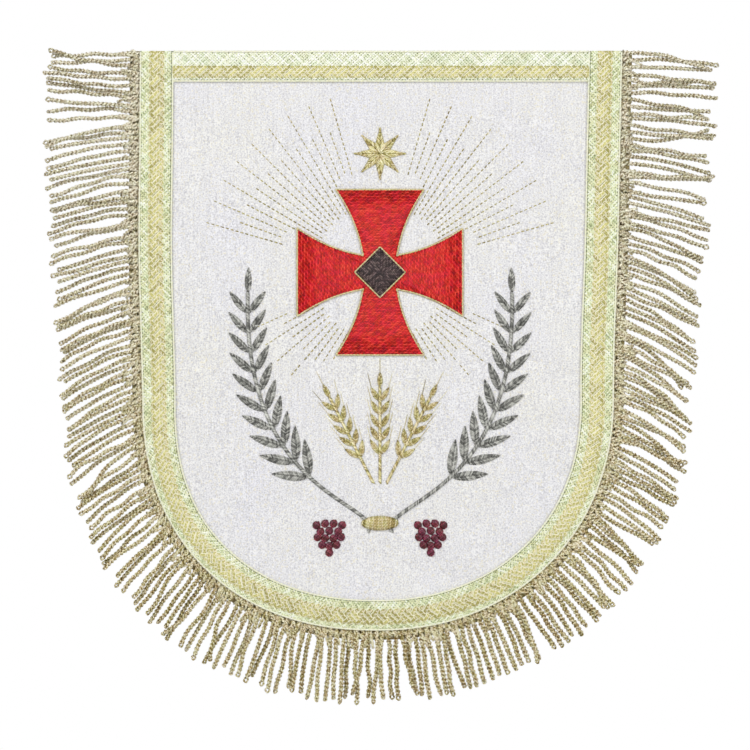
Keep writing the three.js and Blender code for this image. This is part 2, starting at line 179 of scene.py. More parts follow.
# Creases, listed one by one: x and z of both ends, depth and width in mm. They run out from the stitched
# emblem, which draws the cloth in, and two broad ones lie near the head and one near the foot.
CREASES = [
    (100, -226, 148, -250, 1.4, 7), (108, -262, 148, -270, -0.9, 5), (112, -277, 150, -284, 1.4, 5),
    (104, -300, 146, -322, 1.0, 6), (90, -66, 144, -90, 1.7, 14), (-146, -58, -104, -80, 1.5, 13),
    (-150, -226, -112, -238, 1.1, 6), (-148, -262, -116, -268, 1.0, 5), (-146, -306, -110, -294, 1.1, 6),
    (-30, -374, 66, -396, 2.0, 12), (-96, -352, -58, -330, 1.1, 8), (70, -352, 108, -336, 1.1, 7),
]
SLUB_MM = 1.0
WEAVE_MM = 0.68
EDGE_STEPS = 4000


def smoothstep(value, start, stop):
    """0 below start, 1 above stop, and 3t^2 - 2t^3 between them."""
    t = np.clip((value - start) / (stop - start), 0, 1)
    return t * t * (3 - 2 * t)


def uneven(piece, purpose):
    """A fixed number from -1 to 1 for each piece and purpose: the fraction of a large sine."""
    value = np.sin(piece * 12.9898 + purpose * 78.233) * 43758.5453
    return 2 * (value - np.floor(value)) - 1


def read_table(table, at, column):
    """A smooth curve through a table's rows: a cubic between each two rows, with the slope at a row
    that of the line between its neighbours."""
    places, values = np.array(table["at"], float), np.array(table[column], float)
    last = len(places) - 1
    before = np.maximum(np.arange(last + 1) - 1, 0)
    after = np.minimum(np.arange(last + 1) + 1, last)
    slopes = (values[after] - values[before]) / (places[after] - places[before])
    row = np.clip(np.searchsorted(places, at, side="right") - 1, 0, last - 1)
    span = places[row + 1] - places[row]
    t = np.clip((at - places[row]) / span, 0, 1)
    rise = values[row] + (values[row + 1] - values[row]) * t * t * (3 - 2 * t)
    bend = t * (1 - t) ** 2 * slopes[row] + t * t * (t - 1) * slopes[row + 1]
    return rise + span * bend


def creased(x, z):
    """The creases' depth at x, z: each is depth exp(-(gap / width)^2), where gap is how far a point
    lies from the line between the crease's ends."""
    total = 0.0
    for x1, z1, x2, z2, depth, width in CREASES:
        along_x, along_z = x2 - x1, z2 - z1
        share = np.clip(((x - x1) * along_x + (z - z1) * along_z) / (along_x**2 + along_z**2), 0, 1)
        gap = np.hypot(x - x1 - share * along_x, z - z1 - share * along_z)
        total = total + depth * np.exp(-((gap / width) ** 2))
    return total


def billow(x, z):
    """How far the cloth stands back from its plane: two sine waves, faded in below the flat head,
    and the creases."""
    waves = sum(
        wave["height"] * np.sin(x * wave["across"] + z * wave["down"] + wave["shift"]) for wave in WAVES
    )
    return smoothstep(-z, FLAT_HEAD, FREE_BELOW) * waves + creased(x, z)


def on_cloth(x, z, forward):
    """Points at x, z that lie forward of the cloth's middle layer, as an array of x, y, z."""
    x, z, forward = np.broadcast_arrays(x, z, forward)
    return np.stack([x, billow(x, z) - forward, z], axis=-1)


def half_width(down, left):
    """The cloth's half width at a height down its straight sides, of the left or the right half."""
    return np.where(left, read_table(HALF_WIDTHS, down, "left"), read_table(HALF_WIDTHS, down, "right"))


def edge_line():
    """The cloth's cut edge: straight sides from a table, then x = a cos(t)^(2/n) and
    z = b sin(t)^(2/n) round the foot. Gives the length run so far, x and z."""
    t = np.linspace(0, 1, EDGE_STEPS + 1)
    run = np.minimum(t, 1 - t)
    left = t < 0.5
    down = np.minimum(STRAIGHT_SIDE * run / 0.25, STRAIGHT_SIDE)
    angle = np.clip((run - 0.25) / 0.25, 0, 1) * np.pi / 2
    power = 2 / np.where(left, FOOT_ROUNDNESS_LEFT, FOOT_ROUNDNESS_RIGHT)
    out = np.maximum(np.cos(angle), 0) ** power
    drop = np.sin(angle) ** power
    x = np.where(run < 0.25, half_width(down, left), FOOT_HALF_WIDTH * out) * np.where(left, -1, 1)
    z = np.where(run < 0.25, -down, -STRAIGHT_SIDE - FOOT_DEPTH * drop)
    length = np.concatenate([[0], np.cumsum(np.hypot(np.diff(x), np.diff(z)))])
    return length, x, z


edge_run, edge_x, edge_z = edge_line()
EDGE_LENGTH = edge_run[-1]


def beside_edge(along, out):
    """The point out beyond the cloth's edge, along mm from its top left, and the outward direction:
    the edge's own direction, taken over 2 mm, turned a quarter."""
    along = np.clip(along, 0, EDGE_LENGTH)
    ahead, behind = np.minimum(along + 1, EDGE_LENGTH), np.maximum(along - 1, 0)
    dx = np.interp(ahead, edge_run, edge_x) - np.interp(behind, edge_run, edge_x)
    dz = np.interp(ahead, edge_run, edge_z) - np.interp(behind, edge_run, edge_z)
    size = np.hypot(dx, dz)
    away_x, away_z = dz / size, -dx / size
    x = np.interp(along, edge_run, edge_x) + away_x * out
    z = np.interp(along, edge_run, edge_z) + away_z * out
    return x, np.minimum(z, 0), away_x, away_z


def grid_faces(rows, columns, start=0):
    """The four-cornered faces of a grid of rows by columns points, numbered row by row."""
    place = start + np.arange(rows * columns).reshape(rows, columns)
    cells = [place[:-1, :-1], place[1:, :-1], place[1:, 1:], place[:-1, 1:]]
    return np.stack(cells, axis=-1).reshape(-1, 4)


def tube_faces(tubes, rings, points_round):
    """The faces of many closed tubes, numbered tube by tube and ring by ring: four-cornered ones
    along the sides, and a fan of triangles over each end."""
    place = np.arange(tubes * rings * points_round).reshape(tubes, rings, points_round)
    after = np.roll(place, -1, axis=2)
    quads = np.stack([place[:, :-1], place[:, 1:], after[:, 1:], after[:, :-1]], axis=-1)
    fan = np.arange(1, points_round - 1)
    first = np.stack(np.broadcast_arrays(place[:, 0, :1], place[:, 0, fan], place[:, 0, fan + 1]), axis=-1)
    last = np.stack(np.broadcast_arrays(place[:, -1, :1], place[:, -1, fan + 1], place[:, -1, fan]), axis=-1)
    return quads.reshape(-1, 4), np.concatenate([first.reshape(-1, 3), last.reshape(-1, 3)])


def put_mesh(name, points, quads, triangles=None, uv=None, tone=None):
    """A mesh object at the origin from points in mm and faces that close it. Faces are turned to
    point outwards where the volume they hold comes out negative. uv is in mm for each point or for
    each corner of each face, and tone a number from 0 to 1 for each point."""
    points = np.asarray(points, float).reshape(-1, 3)
    quads = np.asarray(quads, np.int32).reshape(-1, 4)
    triangles = np.zeros((0, 3), np.int32) if triangles is None else np.asarray(triangles, np.int32)
    halves = np.concatenate([quads[:, [0, 1, 2]], quads[:, [0, 2, 3]], triangles])
    a, b, c = (points[halves[:, k]] for k in range(3))
    if np.einsum("ij,ij->i", a, np.cross(b, c)).sum() < 0:
        quads, triangles = quads[:, ::-1], triangles[:, ::-1]
        if uv is not None and uv.ndim == 3:
            uv = uv[:, ::-1]
    loops = np.concatenate([quads.ravel(), triangles.ravel()]).astype(np.int32)
    sizes = np.concatenate([np.full(len(quads), 4), np.full(len(triangles), 3)])
    starts = np.concatenate([[0], np.cumsum(sizes)[:-1]]).astype(np.int32)
    mesh = bpy.data.meshes.new(name)
    mesh.vertices.add(len(points))
    mesh.vertices.foreach_set("co", (points * MM).ravel())
    mesh.loops.add(len(loops))
    mesh.loops.foreach_set("vertex_index", loops)
    mesh.polygons.add(len(starts))
    mesh.polygons.foreach_set("loop_start", starts)
    mesh.update(calc_edges=True)
    mesh.polygons.foreach_set("use_smooth", np.ones(len(starts), bool))
    if uv is not None:
        layer = mesh.uv_layers.new(name="lie")
        corners = uv.reshape(-1, 2) if uv.ndim == 3 else uv[loops]
        filled = np.zeros((len(loops), 2))
        filled[: len(corners)] = corners * MM
        layer.data.foreach_set("uv", filled.ravel())
    if tone is not None:
        mesh.attributes.new("tone", "FLOAT", "POINT").data.foreach_set("value", tone.ravel())
    piece = bpy.data.objects.new(name, mesh)
    bpy.context.collection.objects.link(piece)
    return piece


def closed_sheet(name, front, back, uv=None):
    """A thin closed sheet between two grids of points: both grids' faces, and a wall all round."""
    rows, columns = front.shape[:2]
    count = rows * columns
    place = np.arange(count).reshape(rows, columns)
    rim = np.concatenate([place[0, :-1], place[:-1, -1], place[-1, :0:-1], place[:0:-1, 0]])
    after = np.roll(rim, -1)
    walls = np.stack([rim, after, after + count, rim + count], axis=-1)
    faces = [grid_faces(rows, columns), grid_faces(rows, columns, count)[:, ::-1], walls]
    points = np.concatenate([front.reshape(-1, 3), back.reshape(-1, 3)])
    if uv is not None:
        uv = np.concatenate([uv.reshape(-1, 2)] * 2)
    return put_mesh(name, points, np.concatenate(faces), uv=uv)


def finish_piece(piece, material, slot, *nodes):
    """Gives a piece its material, the nodes it stands for and its body. slot is not used."""
    piece.data.materials.append(material)
    if nodes:
        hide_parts(*nodes)
    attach(piece, "root")
    return piece


def cloth_points(forward):
    """The panel's grid: columns hang from the head to the superellipse of the foot, closer together
    towards the sides. Sine waves along the braid's seam and round the cross raise puckers there,
    each under a bell curve, and a slow ripple covers the rest."""
    u = np.linspace(0, 1, CLOTH_COLUMNS + 1)[:, None]
    v = np.linspace(0, 1, CLOTH_ROWS + 1)[None, :]
    left = u < 0.5
    power = np.where(left, FOOT_ROUNDNESS_LEFT, FOOT_ROUNDNESS_RIGHT)
    out = np.abs(np.cos(np.pi * (1 - u)))
    drop = np.maximum(1 - out**power, 0) ** (1 / power)
    down = v * (STRAIGHT_SIDE + FOOT_DEPTH * drop)
    x = np.where(left, -1, 1) * out * half_width(np.minimum(down, STRAIGHT_SIDE), left)
    z = -down * np.ones_like(x)
    gaps = [np.hypot(x - edge_x[k], z - edge_z[k]) for k in range(0, len(edge_x), 16)]
    nearest = edge_run[np.argmin(gaps, axis=0) * 16]
    from_edge = np.min(gaps, axis=0) - SEAM_INSET
    by_seam = np.exp(-((from_edge / PUCKER["reach"]) ** 2)) * smoothstep(from_edge, -2, 3)
    foot_more = 0.45 + 0.55 * smoothstep(-z, 200, 330)
    seam_wave = np.sin(2 * np.pi * nearest / PUCKER["wave"] + 1.6 * np.sin(nearest / 37))
    round_x, round_z = x - PULL["x"], z - PULL["z"]
    round_gap = np.hypot(round_x, round_z) - PULL["radius"]
    turns = np.arctan2(round_z, round_x) * PULL["radius"] / PULL["wave"]
    by_cross = np.exp(-((round_gap / PULL["reach"]) ** 2)) * np.sin(2 * np.pi * turns)
    ripple = np.sin(x / 23 + np.sin(z / 61)) * np.sin(z / 31 + 0.6 * np.sin(x / 47))
    lift = PUCKER["height"] * foot_more * by_seam * seam_wave + PULL["height"] * by_cross
    return on_cloth(x, z, forward - np.abs(lift + CREEP_HEIGHT * ripple) * LIFT_SHARE)


# Slub linen: plain weave whose threads swell here and there, so short upright and level flecks
# cross a matt ground that is faintly lilac and faintly straw. Its threads are 0.5 mm and are drawn
# about a third coarser, and its slubs at 1 mm, or they wouldn't show.
linen, tree, shader = new_material("ivory slub linen")
where = add_node(tree, "ShaderNodeTexCoord").outputs["Object"]


def flecks(scale, mm):
    """Noise stretched to threads: features of mm size, longer where the scale is smaller."""
    stretched = add_node(tree, "ShaderNodeMapping", {"Vector": where, "Scale": scale})
    look = {"Vector": stretched, "Scale": 1 / (mm * MM), "Detail": 2.0, "Roughness": 0.6}
    return add_node(tree, "ShaderNodeTexNoise", look)


warp_slubs = flecks((1, 1, 1 / 22), SLUB_MM)
warp = flecks((1, 1, 1 / 2.2), WEAVE_MM)
weft = flecks((1 / 2.2, 1, 1), WEAVE_MM)
clouds = flecks((1, 1, 0.6), 60)
specks = flecks((1, 1, 1), 1.7)
threads = add_node(tree, "ShaderNodeMath", {0: warp, 1: weft}, operation="ADD")
grain = add_node(tree, "ShaderNodeMath", {0: warp_slubs, 1: 0.35, 2: threads}, operation="MULTIPLY_ADD")
shades = {0: clouds, 6: linear("#f7f6e9"), 7: linear("#f0f0fc")}
cloud_tint = add_node(tree, "ShaderNodeMix", shades, data_type="RGBA")
# Where the weave lies low its colour greys towards #c0bfc5: painted shade between the threads.
weave_shade_share = add_node(tree, "ShaderNodeMapRange", {"Value": grain, "From Min": 0.9, "From Max": 1.34})
shades = {0: weave_shade_share, 6: linear("#c0bfc5"), 7: cloud_tint}
weave_shaded_tint = add_node(tree, "ShaderNodeMix", shades, data_type="RGBA")
speck_range = {"Value": specks, "From Min": 0.56, "From Max": 0.7, "To Max": 0.5}
speck_share = add_node(tree, "ShaderNodeMapRange", speck_range)
shades = {0: speck_share, 6: weave_shaded_tint, 7: linear("#e6dcb6")}
tint = add_node(tree, "ShaderNodeMix", shades, data_type="RGBA")
bump = add_node(tree, "ShaderNodeBump", {"Height": grain, "Strength": 0.5, "Distance": 0.0004})
tree.links.new(tint.outputs[2], shader.inputs["Base Color"])
tree.links.new(bump.outputs["Normal"], shader.inputs["Normal"])
shader.inputs["Roughness"].default_value = 0.88
shader.inputs["Sheen Weight"].default_value = 0.15
shader.inputs["Sheen Roughness"].default_value = 0.5

cloth = closed_sheet("cloth", cloth_points(CLOTH_THICKNESS / 2), cloth_points(-CLOTH_THICKNESS / 2))
finish_piece(cloth, linen, "cloth", "panel")


# Fringe tape: a narrow woven tape sewn behind the cloth's edge, which carries the fringe's cords.
# It is cotton with gilt thread, dull against the cords.
LAYER_GAP = 0.35
TAPE_THICKNESS = 1.5
TAPE_BEHIND_CLOTH = 8
TAPE_BEYOND_EDGE = 7.5
TAPE_FRONT = -CLOTH_THICKNESS / 2 - LAYER_GAP
# Lengths in mm, and heights in metres between which a thread greyed at the head gains its full colour.
THREAD_LOOK = {
    "twist_mm": 1.5, "relief": 0.5, "grooves": 0.45, "glint": 0.9, "glint_mm": 1.5, "drift": 0.012,
    "drift_mm": 4, "faded": 1.0, "faded_above": -0.12, "full_below": -0.38,
}


def thread_material(name, colours, metallic, roughness, **look):
    """Thread wound or spun from fine yarn. A share picks its colour from deep to pale: the piece's
    tone, plus painted glints about glint_mm long, as paler and darker specks, plus slanting windings
    twist_mm apart, which follow its lie, with painted shade in their hollows.
    Its hue drifts a little in patches, and `faded` is its saturation at the head, 1 near the foot."""
    look = THREAD_LOOK | look
    glint, grooves, drift = look["glint"], look["grooves"], look["drift"]
    material, tree, shader = new_material(name)
    tone = add_node(tree, "ShaderNodeAttribute", attribute_name="tone").outputs["Fac"]
    lie = add_node(tree, "ShaderNodeUVMap", uv_map="lie")
    turned = add_node(tree, "ShaderNodeMapping", {"Vector": lie, "Rotation": (0, 0, np.pi / 4)})
    wave = {"Vector": turned, "Scale": 0.314 / (look["twist_mm"] * MM), "Distortion": 1.2}
    windings = add_node(tree, "ShaderNodeTexWave", wave).outputs["Fac"]
    place = add_node(tree, "ShaderNodeTexCoord").outputs["Object"]
    # Glints: painted highlights and darker specks in the colour.
    noise = {"Vector": place, "Scale": 1 / (look["glint_mm"] * MM), "Detail": 1.0}
    glints = add_node(tree, "ShaderNodeTexNoise", noise)
    toned = add_node(tree, "ShaderNodeMath", {0: glints, 1: glint, 2: tone}, operation="MULTIPLY_ADD")
    # Windings darken the colour in their hollows: painted shade. The bump below gives their real relief.
    shade = add_node(tree, "ShaderNodeMath", {0: windings, 1: grooves, 2: toned}, operation="MULTIPLY_ADD")
    middle = 0.45 + (glint + grooves) / 2
    span = {"Value": shade, "From Min": middle - 0.6, "From Max": middle + 0.6}
    ramp = add_node(tree, "ShaderNodeValToRGB", {"Fac": add_node(tree, "ShaderNodeMapRange", span)})
    stops = ramp.color_ramp.elements
    stops.new(0.5)
    for stop, colour in zip(stops, colours):
        stop.color = linear(colour)
    noise = {"Vector": place, "Scale": 1 / (look["drift_mm"] * MM), "Detail": 0.0}
    patches = add_node(tree, "ShaderNodeTexNoise", noise)
    hues = {
        "Value": patches, "From Min": 0.35, "From Max": 0.65, "To Min": 0.5 - drift, "To Max": 0.5 + drift,
    }
    hue = add_node(tree, "ShaderNodeMapRange", hues)
    # Saturation set by height: greyer towards the head.
    height = add_node(tree, "ShaderNodeSeparateXYZ", {"Vector": place}).outputs["Z"]
    heights = {
        "Value": height, "From Min": look["faded_above"], "From Max": look["full_below"],
        "To Min": look["faded"],
    }
    full = add_node(tree, "ShaderNodeMapRange", heights)
    tint = add_node(tree, "ShaderNodeHueSaturation", {"Hue": hue, "Saturation": full, "Color": ramp})
    relief = {"Height": windings, "Strength": look["relief"], "Distance": 0.0003}
    bump = add_node(tree, "ShaderNodeBump", relief)
    tree.links.new(tint.outputs["Color"], shader.inputs["Base Color"])
    tree.links.new(bump.outputs["Normal"], shader.inputs["Normal"])
    shader.inputs["Metallic"].default_value = metallic
    shader.inputs["Roughness"].default_value = roughness
    return material


tape_along = np.linspace(0, EDGE_LENGTH, 361)[:, None]
tape_out = np.linspace(-TAPE_BEHIND_CLOTH, TAPE_BEYOND_EDGE, 5)[None, :]
tape_x, tape_z, _, _ = beside_edge(tape_along + 0 * tape_out, tape_out)
tape_uv = np.stack(np.broadcast_arrays(tape_along, tape_out), axis=-1)
tape_faces = [on_cloth(tape_x, tape_z, TAPE_FRONT - behind) for behind in (0, TAPE_THICKNESS)]
tape = closed_sheet("fringe_tape", *tape_faces, tape_uv)
# Gilt cotton tape: a dull old gold, ribbed across by its weave.
gilt_cotton = thread_material("gilt cotton tape", ("#85784a", "#b5a873", "#dccf9f"), 0.1, 0.6)
finish_piece(tape, gilt_cotton, "fringe_cord")


# Fringe cords: bullion, two gilt strands twisted hard and looped at the end, hung side by side.
# They stand out from the sides and lean downwards, and neighbours bunch, cross and part.
CORD_PITCH = 4.8
CORD_START = 0.4
CORD_RADIUS = 1.95
CORD_TWIST = 6.2
CORD_RINGS = 77
CORD_POINTS = 8
CORD_ROUGH = 0.08
CORD_LEVELS = 2.3
# Lean in degrees, reach and sways in mm, and shares of the way to the middle of a clump.
CORD_UNEVEN = {
    "reach": 3.5, "lean": 1.0, "bunch_lean": 1.6, "bunch_cords": 5.3, "slow_sway": 1.7, "quick_sway": 0.75,
    "drawn": 0.22, "drawn_more": 0.4,
}
# Cord tones: the foot's; how much paler the cords that stand out sideways at the head's ends are, painted
# light from the upper left; and a random spread.
CORD_TONE = {"foot": 0.55, "sideways": 0.14, "uneven": 0.14}
STRAYS = {"share": 0.72, "lean": 9}
EYELET = {"radius": 1.2, "thread": 1.0, "rings": 11, "points": 6, "twist": 5.2}
CORD_LIE = {
    "at": [
        0, 0.022, 0.036, 0.05, 0.07, 0.12, 0.2, 0.25, 0.31, 0.38, 0.45, 0.5, 0.56, 0.63, 0.69,
        0.75, 0.82, 0.9, 0.95, 0.98, 1.0,
    ],
    "reach": [69, 70, 69, 70, 69, 67, 65, 64, 60, 57, 54, 53, 53, 56, 57, 62, 66, 68, 69, 69, 69],
    "lean": [3, -5, -6, 3, 10, 14, 21, 24, 17, 8, 2, 0, 0, 3, 11, 23, 24, 13, 5, 0, -3],
    "size": [
        0.98, 0.98, 0.98, 0.98, 0.98, 0.98, 0.99, 1.0, 1.0, 1.02, 1.03, 1.06, 1.14, 1.16, 1.09,
        1.03, 1.0, 0.98, 0.98, 0.98, 0.98,
    ],
}
TAPE_MIDDLE = TAPE_FRONT - TAPE_THICKNESS / 2


def strip_lie(run, around):
    """Where each corner of each face of many strips lies, in mm along the strip and across it. run is
    strips by rings, and around is one place for each point of a ring, a step apart."""
    here, ahead = slice(None, -1), slice(1, None)
    corners = [
        np.stack(np.broadcast_arrays(run[:, rows, None], around + shift * around[1]), axis=-1)
        for rows, shift in ((here, 0), (ahead, 0), (ahead, 1), (here, 1))
    ]
    return np.stack(corners, axis=-2).reshape(-1, 4, 2)


def run_along(paths):
    """The length run so far at each point of each path, paths being paths by points by coordinates."""
    steps = np.linalg.norm(np.diff(paths, axis=1), axis=-1)
    return np.concatenate([np.zeros((len(paths), 1)), np.cumsum(steps, axis=1)], axis=1)


def twisted_tubes(paths, radius, twist, points_round, waist=0.62):
    """Two-strand cords along many paths at once, paths being cords by rings by x, y, z. A ring's
    radius is that of its strands side by side, sqrt(cos(angle)^2 + waist^2), and each ring is turned
    on by its run over `twist`, so its points follow the strands. A ring turns by less than 60 degrees
    from the one before it, or the cord would pinch. radius is one number or one for each ring. Gives
    points, faces, end faces and the lie of each face corner."""
    tubes, rings = paths.shape[:2]
    step = np.gradient(paths, axis=1)
    ahead = step / np.linalg.norm(step, axis=-1, keepdims=True)
    run = run_along(paths)
    side = np.cross(ahead, np.array([0.0, 1.0, 0.0]))
    side /= np.linalg.norm(side, axis=-1, keepdims=True)
    up = np.cross(side, ahead)
    angle = 2 * np.pi * np.arange(points_round) / points_round
    turned = angle + (2 * np.pi * run / twist + 2.4 * np.arange(tubes)[:, None])[..., None]
    grow = np.sqrt(np.cos(angle) ** 2 + waist**2) / np.sqrt(1 + waist**2)
    size = np.broadcast_to(radius, (tubes, rings))[..., None] * grow
    ring = (size * np.cos(turned))[..., None] * side[:, :, None]
    ring = ring + (size * np.sin(turned))[..., None] * up[:, :, None]
    points = paths[:, :, None] + ring
    quads, triangles = tube_faces(tubes, rings, points_round)
    around = np.arange(points_round) * (2 * np.pi * np.mean(radius) / points_round)
    return points.reshape(-1, 3), quads, triangles, strip_lie(run, around)


def ropy_tone(tones, rings, points_round, depth=0.75):
    """The tone of twisted cords: each cord's own, with painted highlight on its strands and painted shade
    in the hollows between them, as tone + depth (|cos(angle)| - 0.64)."""
    ridge = np.abs(np.cos(2 * np.pi * np.arange(points_round) / points_round)) - 0.64
    return (np.asarray(tones, float)[:, None, None] + depth * ridge + np.zeros((1, rings, 1))).ravel()


cord_count = round(EDGE_LENGTH / CORD_PITCH)
clump_sizes = np.where(uneven(np.arange(cord_count), 12) > 0.2, 3, 2)
clump_sizes = np.where(uneven(np.arange(cord_count), 16) > 0.7, 4, clump_sizes)
clump_ends = np.cumsum(clump_sizes)
clump_middles = clump_ends - (clump_sizes + 1) / 2


def sidewardness(number):
    """How far a cord's place looks sideways: |cos(pi at)|, 1 at the head's ends and 0 at the foot."""
    return np.abs(np.cos(np.pi * (number + 0.5) / cord_count))


def cord_paths(numbers):
    """Each cord runs from the tape's front to its reach, turned from square to the edge by its lean
    times (0.7 + 0.35 share), and sways aside by two small sines. It is drawn to the middle of its
    clump of two to four cords by share^1.5, less so at the foot, and lies at one of three depths."""
    number = numbers[:, None].astype(float)
    share = np.linspace(0, 1, CORD_RINGS)[None, :]
    at = (number + 0.5) / cord_count
    x, z, away_x, away_z = beside_edge(at * EDGE_LENGTH, CORD_START)
    bunch_cords = CORD_UNEVEN["bunch_cords"]
    bunch = np.sin(number / bunch_cords) * np.sin(number / (2.3 * bunch_cords))
    lean = read_table(CORD_LIE, at, "lean") + CORD_UNEVEN["bunch_lean"] * bunch
    lean = lean + CORD_UNEVEN["lean"] * uneven(number, 1)
    stray = smoothstep(uneven(number, 14), STRAYS["share"], STRAYS["share"] + 0.1)
    lean = lean + STRAYS["lean"] * stray * np.sign(uneven(number, 15)) * share
    reach = read_table(CORD_LIE, at, "reach") + CORD_UNEVEN["reach"] * uneven(number, 2)
    reach = reach - CORD_START - 2 * EYELET["radius"]
    towards_down = np.where(at < 0.5, 1, -1)
    turn = -towards_down * np.radians(lean * (0.7 + 0.35 * share))
    heading_x = away_x * np.cos(turn) + away_z * np.sin(turn)
    heading_z = away_z * np.cos(turn) - away_x * np.sin(turn)
    slow = uneven(number, 3) * np.sin(np.pi * share * (1.2 + 0.5 * uneven(number, 4)))
    quick = uneven(number, 5) * np.sin(2 * np.pi * share * (2.1 + 0.6 * uneven(number, 17)))
    middle = clump_middles[np.searchsorted(clump_ends, numbers, side="right")][:, None]
    bunching = CORD_UNEVEN["drawn"] + CORD_UNEVEN["drawn_more"] * uneven(number, 13)
    bunching = bunching * (0.4 + 0.6 * sidewardness(number))
    drawn = (middle - number) * CORD_PITCH * bunching * share**1.5
    sway = CORD_UNEVEN["slow_sway"] * slow + CORD_UNEVEN["quick_sway"] * quick + drawn
    stagger = CORD_LEVELS * (number % 3 - 1)
    settled = smoothstep(share, 0.02, 0.5)
    forward = (TAPE_FRONT + 1.5) * (1 - settled) + (TAPE_MIDDLE + stagger) * settled
    away = x + heading_x * reach * share - heading_z * sway
    down = z + heading_z * reach * share + heading_x * sway
    return np.stack([away, (billow(x, z) - forward) * np.ones_like(share), down], axis=-1)


# Gilt thread: metallised film wound round cotton, so each strand glints along its ridge, a painted
# highlight, and goes brown and olive between the strands, painted shade, greyer up the sides. Its
# windings are 0.3 mm, drawn at 1.5 mm.
bullion = thread_material(
    "gilt bullion cord", ("#6a5112", "#c9b56e", "#fff9dc"), 0.3, 0.3,
    relief=0.9, grooves=0.6, glint=4.2, glint_mm=1.2, faded=0.74,
)


def eyelet_paths(paths, numbers):
    """The small open eye that each cord's two strands make as they turn back at its end: a ring of
    EYELET radius, from half a turn before the end of the cord's own direction right round to it."""
    tip, ahead = paths[:, -1], paths[:, -1] - paths[:, -4]
    ahead = ahead / np.linalg.norm(ahead, axis=1, keepdims=True)
    beside = np.cross(ahead, np.array([0.0, 1.0, 0.0]))
    tilt = 0.7 * uneven(numbers, 18)[:, None]
    beside = beside * np.cos(tilt) + np.array([0.0, 1.0, 0.0]) * np.sin(tilt)
    turn = np.linspace(-0.96, 0.96, EYELET["rings"]) * np.pi
    size = (EYELET["radius"] * (1 + 0.3 * uneven(numbers, 19)))[:, None, None]
    along = (np.cos(turn) + 0.8)[None, :, None] * ahead[:, None]
    return tip[:, None] + size * (along * 1.15 + np.sin(turn)[None, :, None] * beside[:, None])


FRINGE_PARTS = {"fringe_left": (0, 0.36), "fringe_foot": (0.36, 0.64), "fringe_right": (0.64, 1)}
for name, (start, stop) in FRINGE_PARTS.items():
    numbers = np.arange(round(start * cord_count), round(stop * cord_count))
    paths = cord_paths(numbers)
    rough = uneven(numbers[:, None] * CORD_RINGS + np.arange(CORD_RINGS), 21)
    size = read_table(CORD_LIE, (numbers + 0.5) / cord_count, "size")
    radius = CORD_RADIUS * size[:, None] * (1 + CORD_ROUGH * rough)
    # Paler where the cords stand out sideways at the head's ends: painted light. The foot's cords keep a
    # lower tone, painted shade.
    own = CORD_TONE["foot"] + CORD_TONE["sideways"] * sidewardness(numbers)
    own = own + CORD_TONE["uneven"] * uneven(numbers, 6)
    points, quads, triangles, uv = twisted_tubes(paths, radius, CORD_TWIST, CORD_POINTS)
    piece = put_mesh(name, points, quads, triangles, uv, ropy_tone(own, CORD_RINGS, CORD_POINTS))
    finish_piece(piece, bullion, "fringe_cord", "fringe")
    shape = twisted_tubes(eyelet_paths(paths, numbers), EYELET["thread"], EYELET["twist"], EYELET["points"])
    eyelets = put_mesh(name + "_eyelets", *shape, ropy_tone(own, EYELET["rings"], EYELET["points"]))
    finish_piece(eyelets, bullion, "fringe_cord")


# Fringe heading: where the cords are caught to the tape they crowd together, with short loops
# worked crosswise between them, a row of chain stitch that holds them down and a thin cord that
# covers the join along the cloth's edge. The chain's thread is drawn at twice its width.
HEADING = {
    "reach": 4.5, "longer": 12, "rings": 11, "radius": 1.4, "twist": 7.4, "points": 6, "slant": 1.6,
    "slant_uneven": 2.6, "low": 0.5, "arch": 1.5, "crossing": 0.35, "sink": 1.2, "tone": 0.9,
    "tone_uneven": 0.3,
}
HEADING_PER_CORD = 2.3
CHAIN = {"link": 3.2, "out": 3.4, "foot": 0.15, "top": 0.75, "longer": 1.15, "forward": 1.9}
EDGE_CORD = {"out": 0.2, "radius": 0.95, "forward": 1.1, "twist": 6.2, "points": 6, "step": 0.9, "inset": 0.8}


def heading_paths(count):
    """Short cords that rise off the tape and sink again, each slanting across its neighbour, of a
    reach that is mostly short: reach + longer (0.5 + 0.5 u)^2, where u is from -1 to 1."""
    number = np.arange(count, dtype=float)[:, None]
    share = np.linspace(0, 1, HEADING["rings"])[None, :]
    hand = np.where(number % 2, 1, -1)
    slant = hand * HEADING["slant"] + HEADING["slant_uneven"] * uneven(number, 7)
    at = (number + 0.5) / count
    reach = HEADING["reach"] + HEADING["longer"] * (0.5 + 0.5 * uneven(number, 8)) ** 2
    lean = np.where(at < 0.5, 1, -1) * np.tan(np.radians(read_table(CORD_LIE, at, "lean")))
    along = at * EDGE_LENGTH + slant * (share - 0.5) * 2 + lean * reach * share
    x, z, _, _ = beside_edge(along, CORD_START + reach * share)
    forward = TAPE_FRONT + HEADING["low"] + HEADING["arch"] * np.sin(np.pi * share)
    return on_cloth(x, z, forward + HEADING["crossing"] * hand - HEADING["sink"] * share**3)


heading_count = round(HEADING_PER_CORD * cord_count)
# The heading's cords take a tone above the hanging cords': painted light, set against the shade where they
# crowd.
tones = HEADING["tone"] + HEADING["tone_uneven"] * uneven(np.arange(heading_count), 9)
shape = twisted_tubes(heading_paths(heading_count), HEADING["radius"], HEADING["twist"], HEADING["points"])
heading = put_mesh("fringe_heading", *shape, ropy_tone(tones, HEADING["rings"], HEADING["points"]))
finish_piece(heading, bullion, "fringe_cord", "fringe")


def even_steps(length):
    """Places along a cord laid on the cloth, about EDGE_CORD step apart and a little short of its ends."""
    return np.linspace(EDGE_CORD["inset"], length - EDGE_CORD["inset"], int(length / EDGE_CORD["step"]))


